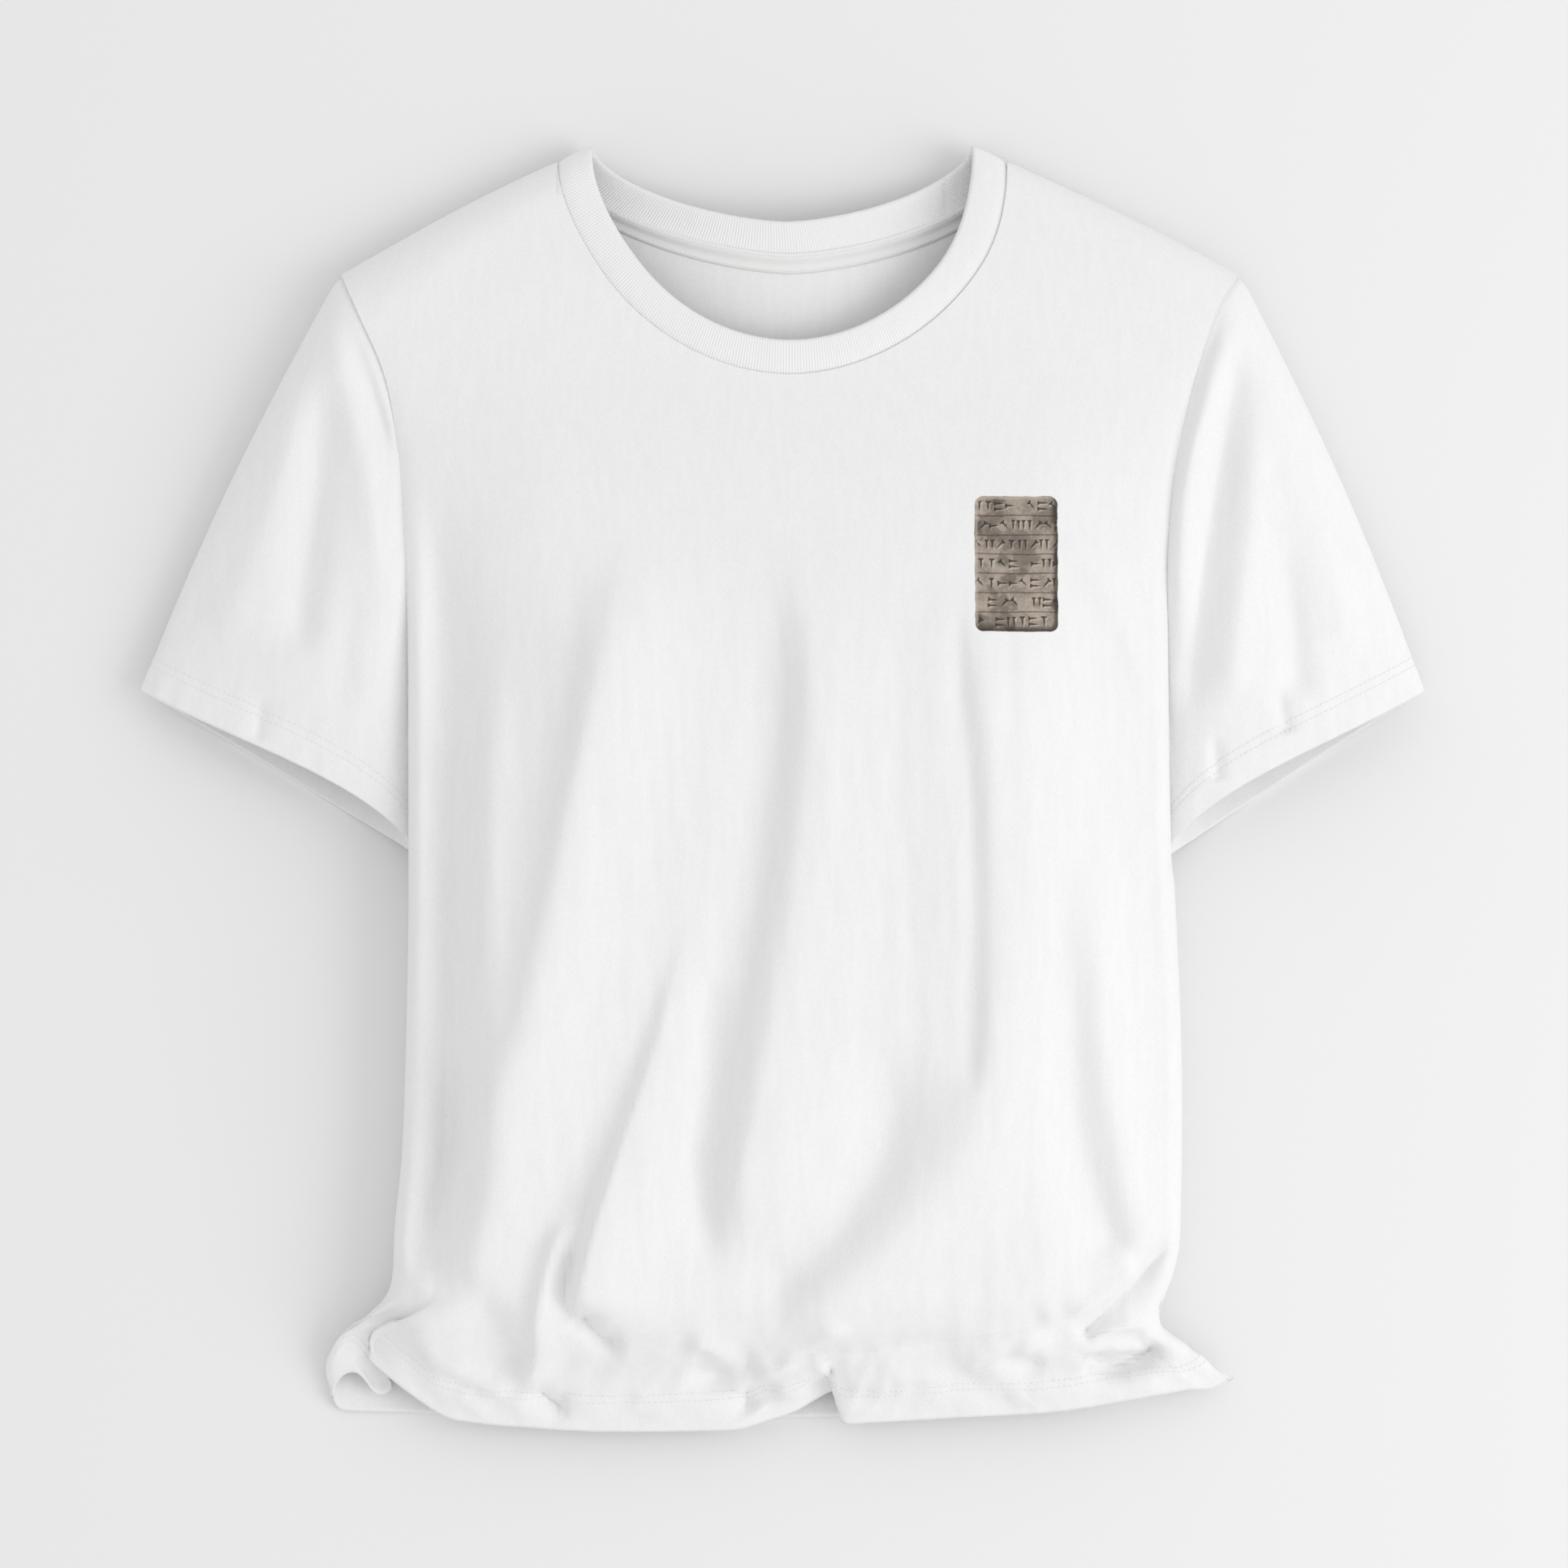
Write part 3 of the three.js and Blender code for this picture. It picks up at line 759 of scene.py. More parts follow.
class Nodes:
    """Short hand for building a node tree."""

    def __init__(self, tree: bpy.types.NodeTree) -> None:
        """Keeps the tree.

        Args:
            tree: The tree that nodes are added to.
        """
        self.tree = tree

    def add(self, kind: str, inputs: dict | None = None, **settings: object) -> bpy.types.Node:
        """Adds a node.

        Args:
            kind: The node's type.
            inputs: What each input takes, by name or number: a socket to link, or a value.
            **settings: The node's own settings.

        Returns:
            The node.
        """
        node = self.tree.nodes.new(kind)
        for name, value in settings.items():
            setattr(node, name, value)
        for name, value in (inputs or {}).items():
            if isinstance(value, bpy.types.NodeSocket):
                self.tree.links.new(value, node.inputs[name])
            else:
                node.inputs[name].default_value = value
        return node

    def math(self, operation: str, *values: object) -> bpy.types.NodeSocket:
        """Adds a Math node.

        Args:
            operation: What it works out.
            *values: Its inputs, each a socket or a number.

        Returns:
            Its result.
        """
        return self.add("ShaderNodeMath", dict(enumerate(values)), operation=operation).outputs[0]

    def ramp(
        self, value: object, start: float, end: float, low: float = 0.0, high: float = 1.0
    ) -> bpy.types.NodeSocket:
        """Adds a smooth step.

        Args:
            value: The socket it reads.
            start: Where the step gives low.
            end: Where it gives high.
            low: Its first value.
            high: Its last value.

        Returns:
            Its result.
        """
        names = ("Value", "From Min", "From Max", "To Min", "To Max")
        inputs = dict(zip(names, (value, start, end, low, high), strict=True))
        return self.add("ShaderNodeMapRange", inputs, interpolation_type="SMOOTHSTEP").outputs[0]

    def blend(self, share: object, a: object, b: object) -> bpy.types.NodeSocket:
        """Adds a mix of two colours.

        Args:
            share: How far from a to b.
            a: First colour, a socket or four numbers.
            b: Second colour.

        Returns:
            The mixed colour.
        """
        node = self.add("ShaderNodeMix", {0: share, 6: a, 7: b}, data_type="RGBA")
        return node.outputs[2]


@dataclass(frozen=True)
class KnitFinish:
    """White knitted cotton.

    Attributes:
        name: The material's name.
        colour: Its colour, as linear red, green and blue.
        grain: Size of the knit's grain, in millimetres across and along the cloth.
        depth: Depth of that grain, in millimetres.
        variation: Share by which the colour varies.
    """

    name: str = "jersey"
    colour: tuple[float, float, float] = (0.85, 0.85, 0.848)
    grain: Point = (0.9, 1.8)
    depth: float = 0.12
    variation: float = 0.02

    def surface(self, nodes: Nodes) -> tuple[bpy.types.NodeSocket, bpy.types.NodeSocket]:
        """Adds the colour and the bump of the knit.

        Args:
            nodes: The material's nodes.

        Returns:
            The colour and the normal.
        """
        where = nodes.add("ShaderNodeTexCoord").outputs["Object"]
        across, along = (1 / (MM * size) for size in self.grain)
        stretched = nodes.add("ShaderNodeMapping", {"Vector": where, "Scale": (across, along, across)})
        fine = nodes.add("ShaderNodeTexNoise", {"Vector": stretched.outputs[0], "Scale": 1.0, "Detail": 2.0})
        slub_map = nodes.add("ShaderNodeMapping", {"Vector": where, "Scale": (260.0, 45.0, 260.0)})
        slub = nodes.add("ShaderNodeTexNoise", {"Vector": slub_map.outputs[0], "Scale": 1.0, "Detail": 3.0})
        tone = nodes.math(
            "ADD", nodes.math("MULTIPLY", fine.outputs[0], 0.6), nodes.math("MULTIPLY", slub.outputs[0], 0.4)
        )
        low = tuple(c * (1 - self.variation) for c in self.colour) + (1.0,)
        high = tuple(min(c * (1 + self.variation), 1.0) for c in self.colour) + (1.0,)
        colour = nodes.blend(nodes.ramp(tone, 0.35, 0.65), low, high)
        height = nodes.math("ADD", fine.outputs[0], nodes.math("MULTIPLY", slub.outputs[0], 0.8))
        bump = nodes.add("ShaderNodeBump", {"Height": height, "Strength": 0.5, "Distance": self.depth * MM})
        return colour, bump.outputs[0]

    def material(self) -> bpy.types.Material:
        """Makes the material."""
        made = bpy.data.materials.new(self.name)
        made.use_nodes = True
        made.diffuse_color = (*self.colour, 1.0)
        nodes = Nodes(made.node_tree)
        shader = made.node_tree.nodes["Principled BSDF"]
        colour, normal = self.surface(nodes)
        made.node_tree.links.new(colour, shader.inputs["Base Color"])
        made.node_tree.links.new(normal, shader.inputs["Normal"])
        shader.inputs["Roughness"].default_value = 0.95
        shader.inputs["Specular IOR Level"].default_value = 0.15
        shader.inputs["Sheen Weight"].default_value = 0.12
        shader.inputs["Sheen Roughness"].default_value = 0.5
        return made


@dataclass(frozen=True)
class PrintFinish(KnitFinish):
    """Jersey with a printed clay tablet: ruled rows of wedge marks that are no writing.

    Attributes:
        centre: Middle of the print in plan.
        size: Its width and height.
        corner: Radius of its corners.
        rows: How many rows of marks it has.
        mark: Width of the room for one mark.
        swell: Size of the marks, 1 for marks five millimetres long.
        clay: Colour of its clay.
        shade: Colour in the marks and on its shaded rims.
        shine: Colour on the lit rims.
        seed: Picks the marks.
    """

    name: str = "chest_print"
    centre: Point = (121.5, 116.4)
    size: Point = (43.2, 70.6)
    corner: float = 4.5
    rows: int = 7
    mark: float = 5.7
    swell: float = 1.3
    clay: tuple[float, float, float] = (0.4, 0.335, 0.28)
    shade: tuple[float, float, float] = (0.042, 0.034, 0.028)
    shine: tuple[float, float, float] = (0.56, 0.5, 0.43)
    seed: float = 4.0

    def inside(self, x: np.ndarray, y: np.ndarray, margin: float) -> np.ndarray:
        """Whether points lie in the print's rectangle.

        Args:
            x: First coordinates in plan.
            y: Second coordinates.
            margin: How far past its edges still counts.

        Returns:
            True for each point that does.
        """
        wide, high = self.size[0] / 2 + margin, self.size[1] / 2 + margin
        return (np.abs(x - self.centre[0]) < wide) & (np.abs(y - self.centre[1]) < high)

    def block(self, nodes: Nodes, u: object, v: object, wobble: object) -> bpy.types.NodeSocket:
        """Adds the distance from the block's rounded edge.

        Args:
            nodes: The material's nodes.
            u: Distance across from its middle, in millimetres.
            v: Distance up from its middle.
            wobble: How far the edge strays.

        Returns:
            The distance, negative inside.
        """
        parts = []
        for value, size in ((u, self.size[0]), (v, self.size[1])):
            past = nodes.math("SUBTRACT", nodes.math("ABSOLUTE", value), size / 2 - self.corner)
            parts.append(nodes.math("MAXIMUM", past, 0.0))
        squares = [nodes.math("MULTIPLY", part, part) for part in parts]
        reach = nodes.math("SQRT", nodes.math("ADD", *squares))
        return nodes.math("ADD", nodes.math("SUBTRACT", reach, self.corner), wobble)

    def wedge(self, nodes: Nodes, u: object, v: object) -> bpy.types.NodeSocket:
        """Adds the wedge marks.

        Args:
            nodes: The material's nodes.
            u: Distance across from the block's middle, in millimetres.
            v: Distance up from its middle.

        Returns:
            1 in a mark and 0 outside.
        """
        row_height = self.size[1] / self.rows
        line = nodes.math("DIVIDE", nodes.math("ADD", v, self.size[1] / 2), row_height)
        row = nodes.math("FLOOR", line)
        stagger = nodes.add(
            "ShaderNodeTexWhiteNoise", {"W": nodes.math("ADD", row, self.seed)}, noise_dimensions="1D"
        )
        across = nodes.math(
            "ADD", nodes.math("DIVIDE", u, self.mark), nodes.math("MULTIPLY", stagger.outputs[0], 3.0)
        )
        cell = nodes.add("ShaderNodeCombineXYZ", {0: nodes.math("FLOOR", across), 1: row, 2: self.seed})
        dice = nodes.add("ShaderNodeTexWhiteNoise", {"Vector": cell.outputs[0]}, noise_dimensions="3D")
        kind = nodes.math("FLOOR", nodes.math("MULTIPLY", dice.outputs[0], 8.0))
        single = nodes.math("LESS_THAN", kind, 4.0)
        paired = nodes.math("SUBTRACT", 1.0, single)
        level_or_upright = nodes.math("MULTIPLY", nodes.math("GREATER_THAN", kind, 5.5), 2.0)
        eighths = nodes.math(
            "ADD", nodes.math("MULTIPLY", single, kind), nodes.math("MULTIPLY", paired, level_or_upright)
        )
        turn = nodes.math("MULTIPLY", eighths, -math.pi / 4)
        shown = nodes.math(
            "GREATER_THAN", nodes.add("ShaderNodeSeparateColor", {0: dice.outputs[1]}).outputs[1], 0.1
        )
        x = nodes.math(
            "MULTIPLY", nodes.math("SUBTRACT", nodes.math("FRACT", across), 0.5), self.mark / self.swell
        )
        y = nodes.math(
            "MULTIPLY", nodes.math("SUBTRACT", nodes.math("FRACT", line), 0.5), row_height / self.swell
        )
        cosine, sine = nodes.math("COSINE", turn), nodes.math("SINE", turn)
        length = nodes.math("ADD", nodes.math("MULTIPLY", x, cosine), nodes.math("MULTIPLY", y, sine))
        aside = nodes.math("SUBTRACT", nodes.math("MULTIPLY", y, cosine), nodes.math("MULTIPLY", x, sine))
        off = nodes.math(
            "ABSOLUTE",
            nodes.math("SUBTRACT", nodes.math("ABSOLUTE", aside), nodes.math("MULTIPLY", paired, 1.15)),
        )
        taper = nodes.math("MULTIPLY", nodes.math("SUBTRACT", 2.5, length), 0.2)
        head = nodes.math(
            "MULTIPLY",
            nodes.ramp(length, -0.8, -1.9),
            nodes.math("SUBTRACT", 0.75, nodes.math("MULTIPLY", paired, 0.3)),
        )
        width = nodes.math("ADD", nodes.math("MINIMUM", taper, 0.42), head)
        within = nodes.ramp(nodes.math("SUBTRACT", width, off), -0.12, 0.25)
        ends = nodes.math("MULTIPLY", nodes.ramp(length, -2.2, -1.9), nodes.ramp(length, 2.5, 2.0))
        return nodes.math("MULTIPLY", nodes.math("MULTIPLY", within, ends), shown)

    def rules(self, nodes: Nodes, v: object) -> bpy.types.NodeSocket:
        """Adds the ruled lines between the rows.

        Args:
            nodes: The material's nodes.
            v: Distance up from the block's middle, in millimetres.

        Returns:
            1 on a line and 0 off it.
        """
        row_height = self.size[1] / self.rows
        line = nodes.math("DIVIDE", nodes.math("ADD", v, self.size[1] / 2), row_height)
        near = nodes.math("MULTIPLY", nodes.math("PINGPONG", line, 0.5), row_height)
        between = nodes.math("LESS_THAN", nodes.math("ABSOLUTE", v), self.size[1] / 2 - 3)
        return nodes.math("MULTIPLY", nodes.ramp(near, 0.5, 0.2), between)

    def surface(self, nodes: Nodes) -> tuple[bpy.types.NodeSocket, bpy.types.NodeSocket]:
        """Adds the colour of the print over the knit, and the knit's bump.

        Args:
            nodes: The material's nodes.

        Returns:
            The colour and the normal.
        """
        cloth, normal = super().surface(nodes)
        where = nodes.add("ShaderNodeTexCoord").outputs["Object"]
        parts = nodes.add("ShaderNodeSeparateXYZ", {0: where}).outputs
        u = nodes.math("SUBTRACT", nodes.math("DIVIDE", parts[0], MM), self.centre[0])
        v = nodes.math("SUBTRACT", nodes.math("DIVIDE", parts[1], MM), self.centre[1])
        rough = nodes.add("ShaderNodeTexNoise", {"Vector": where, "Scale": 130.0, "Detail": 4.0}).outputs[0]
        grit = nodes.add("ShaderNodeTexNoise", {"Vector": where, "Scale": 700.0, "Detail": 3.0}).outputs[0]
        worn = nodes.add("ShaderNodeTexNoise", {"Vector": where, "Scale": 75.0, "Detail": 3.0}).outputs[0]
        wobble = nodes.math("MULTIPLY", nodes.math("SUBTRACT", rough, 0.5), 1.6)
        edge = self.block(nodes, u, v, wobble)
        v = nodes.math("ADD", v, nodes.math("MULTIPLY", nodes.math("SUBTRACT", worn, 0.5), 2.0))
        u = nodes.math("ADD", u, nodes.math("MULTIPLY", nodes.math("SUBTRACT", rough, 0.5), 1.6))
        dull = tuple(c * 0.68 for c in self.clay)
        colour = nodes.blend(nodes.ramp(rough, 0.35, 0.65), (*dull, 1.0), (*self.clay, 1.0))
        colour = nodes.blend(nodes.ramp(grit, 0.45, 0.75, 0.0, 0.4), colour, (*self.shine, 1.0))
        lit = self.wedge(nodes, nodes.math("SUBTRACT", u, 0.65), nodes.math("ADD", v, 0.65))
        marks = self.wedge(nodes, u, v)
        colour = nodes.blend(nodes.math("MULTIPLY", lit, 0.6), colour, (*self.shine, 1.0))
        colour = nodes.blend(nodes.math("MULTIPLY", marks, 0.9), colour, (*self.shade, 1.0))
        colour = nodes.blend(nodes.math("MULTIPLY", self.rules(nodes, v), 0.6), colour, (*self.shade, 1.0))
        pits = nodes.math("MULTIPLY", nodes.ramp(worn, 0.51, 0.6), nodes.ramp(edge, -8.0, -2.0))
        colour = nodes.blend(nodes.math("MULTIPLY", pits, 0.7), colour, (*self.shade, 1.0))
        above = self.block(nodes, nodes.math("SUBTRACT", u, 0.9), nodes.math("ADD", v, 0.9), wobble)
        colour = nodes.blend(nodes.ramp(above, -1.2, 0.2, 0.0, 0.5), colour, (*self.shine, 1.0))
        below = self.block(nodes, nodes.math("ADD", u, 1.2), nodes.math("SUBTRACT", v, 1.2), wobble)
        colour = nodes.blend(nodes.ramp(below, -2.2, 0.3, 0.0, 0.8), colour, (*self.shade, 1.0))
        return nodes.blend(nodes.ramp(edge, 0.12, -0.12), cloth, colour), normal


@dataclass(frozen=True)
class Finishes:
    """The shirt's materials.

    Attributes:
        jersey: The panels' cloth.
        rib: The collar's knit.
        tape: The tape inside the neck.
        thread: The sewing thread.
        chest_print: Jersey where the print is.
    """

    jersey: KnitFinish = KnitFinish()
    rib: KnitFinish = KnitFinish("rib", (0.868, 0.868, 0.866), (0.7, 0.7), 0.08, 0.015)
    tape: KnitFinish = KnitFinish("tape", (0.84, 0.84, 0.835), (0.6, 0.6), 0.08, 0.01)
    thread: KnitFinish = KnitFinish("thread", (0.86, 0.86, 0.855), (0.2, 0.2), 0.02, 0.0)
    chest_print: PrintFinish = PrintFinish()


class Piece:
    """One piece of the shirt that stands for a CAD node.

    Attributes:
        node: The CAD node's name.
        slot: Name of the piece's material slot, which nothing in this script reads.
    """

    node = ""
    slot = "jersey"

    def build(self) -> bpy.types.Object:
        """Makes the piece's object."""
        raise NotImplementedError

    def flat(self) -> tuple[float, float, float]:
        """Width, length and area of the cut cloth, in metres and square metres."""
        raise NotImplementedError

    def rests_on(self) -> list[str]:
        """Names of what the piece lies on."""
        return ["floor"]

    def place(self, mesh: bpy.types.Mesh, materials: Sequence[bpy.types.Material]) -> bpy.types.Object:
        """Links a mesh into the scene.

        Args:
            mesh: The piece's mesh.
            materials: Its materials, in the order of its faces' numbers.

        Returns:
            The object.
        """
        for material in materials:
            mesh.materials.append(material)
        made = bpy.data.objects.new(self.node + "_cloth", mesh)
        bpy.context.scene.collection.objects.link(made)
        return made

    def declare(self, made: bpy.types.Object, cloth: Cloth) -> None:
        """Hides the CAD node that the piece stands for and attaches the piece to the root body.

        Args:
            made: The piece's object.
            cloth: Its outer face. Not used.
        """
        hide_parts(self.node)
        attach(made, "root")


NECK_SHARE = 0.62  # share of a panel's columns, from the middle, that end on the neckline
SEAM_GAP = 0.4  # clearance between pieces that are sewn edge to edge
HEM_TURN = 22.0  # depth of the turned hem at the bottom
CUFF_TURN = 19.0  # depth of the turned hem on a sleeve

# The hems as [share of the half width, x, y, z]: the front's curls under itself at its -X corner.
FRONT_HEM = (
    (-1.0, -239.0, -322.9, 6.0),
    (-0.985, -236.9, -316.9, 9.0),
    (-0.97, -231.8, -310.5, 12.0),
    (-0.955, -225.3, -309.2, 13.5),
    (-0.94, -220.5, -313.5, 12.5),
    (-0.925, -214.5, -321.0, 10.0),
    (-0.905, -207.0, -318.5, 8.0),
    (-0.885, -210.0, -308.5, 11.0),
    (-0.868, -218.5, -301.8, 16.5),
    (-0.85, -212.4, -307.0, 18.5),
    (-0.82, -201.7, -315.6, 19.0),
    (-0.785, -190.9, -323.8, 18.5),
    (-0.74, -178.9, -331.5, 18.0),
    (-0.69, -165.0, -335.0, 17.5),
    (-0.55, -130.7, -338.0, 17.0),
    (-0.46, -110.0, -339.3, 17.0),
    (-0.38, -89.4, -340.0, 16.5),
    (-0.14, -30.1, -339.3, 16.0),
    (-0.07, -12.9, -335.8, 15.0),
    (0.012, 6.9, -329.4, 13.0),
    (0.06, 18.5, -323.0, 12.0),
    (0.095, 26.7, -319.0, 12.5),
    (0.105, 28.6, -324.2, 14.0),
    (0.12, 31.8, -335.0, 16.0),
    (0.2, 50.0, -335.0, 16.5),
    (0.42, 101.5, -332.0, 17.0),
    (0.6, 144.5, -329.4, 17.5),
    (0.79, 187.5, -322.9, 16.5),
    (0.89, 213.3, -318.4, 14.0),
    (0.95, 227.0, -317.8, 11.0),
    (1.0, 238.5, -313.0, 9.0),
)
BACK_HEM = (
    (-1.0, -239.0, -322.9, 6.0),
    (-0.98, -237.0, -328.0, 3.0),
    (-0.95, -231.0, -330.8, 1.2),
    (-0.84, -204.0, -331.6, 0.6),
    (-0.6, -145.0, -334.0, 0.6),
    (-0.2, -45.0, -335.0, 0.6),
    (0.2, 50.0, -333.0, 0.6),
    (0.6, 144.0, -326.0, 0.6),
    (0.85, 204.0, -317.0, 0.6),
    (0.95, 227.0, -314.0, 3.0),
    (1.0, 238.5, -313.0, 9.0),
)


def along_line(table: Sequence[Sequence[float]], q: np.ndarray) -> np.ndarray:
    """A smooth line that is read by its first number.

    Args:
        table: Rows of the number and the coordinates.
        q: Where on the line.

    Returns:
        The coordinates at each q, in the last axis.
    """
    line = smooth_path(table, 600)
    return np.stack([np.interp(q, line[:, 0], line[:, k]) for k in range(1, line.shape[1])], -1)


def crimp(distance: np.ndarray, along: np.ndarray, turn: float, seed: int) -> np.ndarray:
    """Height that a stitched hem adds: a groove at its two rows of stitches and soft puckers beside them.

    Args:
        distance: Distance from the hem's edge.
        along: Distance along the hem.
        turn: Depth of the turned hem.
        seed: Picks the puckers.

    Returns:
        The height.
    """
    groove = -0.22 * np.exp(-(((distance - turn + 2) / 3.4) ** 4))
    pucker = value_noise(along / 7.0, distance / 26.0, seed) * np.exp(-(((distance - turn + 6) / 17.0) ** 2))
    step = 0.35 * ramp(distance, turn + 1.5, turn - 1.0)
    return groove + step + 0.52 * pucker


def crumpled(along: np.ndarray, distance: np.ndarray, seed: int) -> np.ndarray:
    """Small creases that run at a slant into a gathered hem.

    Args:
        along: Distance along the hem.
        distance: Distance from the hem's edge.
        seed: Picks the creases.

    Returns:
        The height, from about -1 to 1.
    """
    wide = value_noise(along / 24.0 + distance / 60.0, distance / 34.0, seed)
    fine = value_noise(along / 13.0 - distance / 26.0, distance / 21.0, seed + 1)
    return 0.9 - 1.5 * np.abs(wide) - 0.75 * np.abs(fine)


class BodyPanel(Piece):
    """The front or the back of the body, with its turned hem.

    Attributes:
        neckline: The panel's neckline.
        hem_line: The hem's real line in plan.
        edge_columns: Columns of points at each rolled side.
        middle_columns: Columns between them.
        row_count: Rows of points from the top to the hem.
        upright: Which way is out where the grid is skewed, up or down.
        crumple: Height of the crumples near the hem.
        notch: Length over which the sharp part of the hem's line is drawn in.
        curl: Length over which its smooth part is.
        edge_share: Share of the half width that the side columns take.
        top_share: Share of a column that the closest rows at its top take.
        dense_from: Share of a column below which the rows run closer.
        hem_middle: Y of the smooth hem's middle.
        side_rises: How much higher the smooth hem lies at its two sides.
        crimp_reach: Distances from the hem over which the stitches' pucker fades in.
    """

    neckline = Neckline.FRONT
    hem_line = FRONT_HEM
    edge_columns = 34
    middle_columns = 138
    row_count = 206
    upright = -1.0
    crumple = 2.6
    notch = 34.0
    curl = 74.0
    edge_share = 0.15
    top_share = 0.03
    dense_from = 0.72
    hem_middle = -336.0
    side_rises = (13.0, 23.0)
    crimp_reach = (90.0, 40.0)

    def columns(self) -> np.ndarray:
        """Shares of the half width at which the columns run, from -1 to 1."""
        near = self.edge_share * np.linspace(0, 1, self.edge_columns) ** 1.35
        middle = np.linspace(self.edge_share - 1, 1 - self.edge_share, self.middle_columns)[1:-1]
        return np.concatenate([-1 + near, middle, (1 - near)[::-1]])

    def rows(self) -> np.ndarray:
        """Shares of a column, from its top to the hem, at which the rows run."""
        half = self.row_count // 2
        top = self.top_share * np.linspace(0, 1, 12) ** 1.8
        upper = np.linspace(self.top_share, self.dense_from, half)[1:]
        return np.concatenate([top, upper, np.linspace(self.dense_from, 1, half)[1:]])

    def plan(self, q: np.ndarray, t: np.ndarray) -> tuple[np.ndarray, np.ndarray]:
        """Plan position of the panel's points.

        Args:
            q: Shares of the half width.
            t: Shares of the columns.

        Returns:
            X and y as [column, row].
        """
        shoulder = np.clip((np.abs(q) - NECK_SHARE) / (1 - NECK_SHARE), 0, 1)
        seam = self.neckline.seam(np.minimum(np.abs(q) / NECK_SHARE, 1))
        across = mix(CUT.neck_half, CUT.shoulder_half, shoulder)
        on_neck = np.abs(q) <= NECK_SHARE
        top_x = np.sign(q) * np.where(on_neck, seam[:, 0], across)
        top_y = np.where(on_neck, seam[:, 1], outline_top(across))
        y = mix(top_y[:, None], self.hem_y(q)[:, None], t[None, :])
        side_y = mix(CUT.shoulder_y, self.hem_y(np.sign(q))[:, None], t[None, :])
        reach = np.where(q[:, None] < 0, CUT.shift - edge_x(side_y, -1), edge_x(side_y, 1) - CUT.shift)
        drawn_in = mix(q[:, None] ** 4, 1.0, ramp(t, 0, 0.45)[None, :])
        reach = mix(CUT.shoulder_half, reach, drawn_in)
        spread = (top_x - q * CUT.shoulder_half)[:, None] * (1 - t[None, :]) ** 3
        return middle_x(y) + q[:, None] * reach + spread, y

    def hem_y(self, q: np.ndarray) -> np.ndarray:
        """Y of the smooth hem, before it is drawn to its real line.

        Args:
            q: Shares of the half width.

        Returns:
            The hem's Y.
        """
        left, right = self.side_rises
        return self.hem_middle + np.where(q < 0, left * np.abs(q) ** 8, right * np.abs(q) ** 2.2)

    def height(self, x: np.ndarray, y: np.ndarray) -> np.ndarray:
        """Height of the panel's outer face without folds.

        Args:
            x: First coordinates in plan.
            y: Second coordinates.

        Returns:
            The height.
        """
        return front_height(x, y)

    def folded(self, points: np.ndarray) -> np.ndarray:
        """The panel's points with its folds.

        Args:
            points: The points of the smooth panel.

        Returns:
            The folded panel's points.
        """
        return points

    def cloth(self) -> Cloth:
        """The panel's outer face."""
        q, t = self.columns(), self.rows()
        x, y = self.plan(q, t)
        points = self.folded(np.stack([x, y, self.height(x, y)], -1))
        from_hem = (1 - t)[None, :] * np.ones_like(x) * (CUT.shoulder_y - CUT.hem)
        near = [along_line(self.hem_line, np.clip(q + step, -1, 1)) for step in np.linspace(-0.06, 0.06, 13)]
        kept = (ramp(q, -0.6, -0.5) * ramp(q, 0.9, 0.8))[:, None]
        hem = along_line(self.hem_line, q)
        smooth = mix(hem, sum(near) / len(near), kept)
        points = points + (smooth - points[:, -1])[:, None, :] * ramp(from_hem, self.curl, 0)[..., None]
        points = points + (hem - smooth)[:, None, :] * ramp(from_hem, self.notch, 0)[..., None]
        return self.finished(Cloth(points, upright=self.upright))

    def finished(self, cloth: Cloth) -> Cloth:
        """The panel with its hem's stitching, oriented so that its outer face shows.

        Args:
            cloth: The panel without it.

        Returns:
            The finished panel.
        """
        along = np.broadcast_to(cloth.points[:, -1:, 0], cloth.points.shape[:2])
        from_end = cloth.from_end()
        relief = crimp(from_end, along, HEM_TURN, 5) * ramp(from_end, *self.crimp_reach)
        if self.crumple:
            near_hem = ramp(from_end, 84, 26) * ramp(from_end, 0, 9)
            relief = relief + self.crumple * crumpled(along, from_end, 41) * near_hem
        lifted = cloth.lifted(relief)
        edge = np.zeros(cloth.points.shape[:2])
        edge[[0, -1], :] = 1.0
        edge[:, 0] = np.where(np.abs(self.columns()) >= NECK_SHARE, 1.0, 0.0)
        return replace(lifted, points=lifted.points + np.stack([0 * edge, 0 * edge, edge * SEAM_GAP / 2], -1))

    def build(self) -> bpy.types.Object:
        """Makes the panel's object."""
        cloth = self.cloth()
        mesh = cloth.mesh(self.node, CUT.cloth * (1 + ramp(cloth.from_end(), HEM_TURN + 1, HEM_TURN)))
        made = self.place(mesh, [FINISHES.jersey.material()])
        self.declare(made, cloth)
        return made

    def stitches(self) -> list[StitchRow]:
        """The two rows of stitches on the hem."""
        cloth = self.cloth()
        return [StitchRow.on(cloth, HEM_TURN - back, 3.0) for back in (0.0, 4.3)]


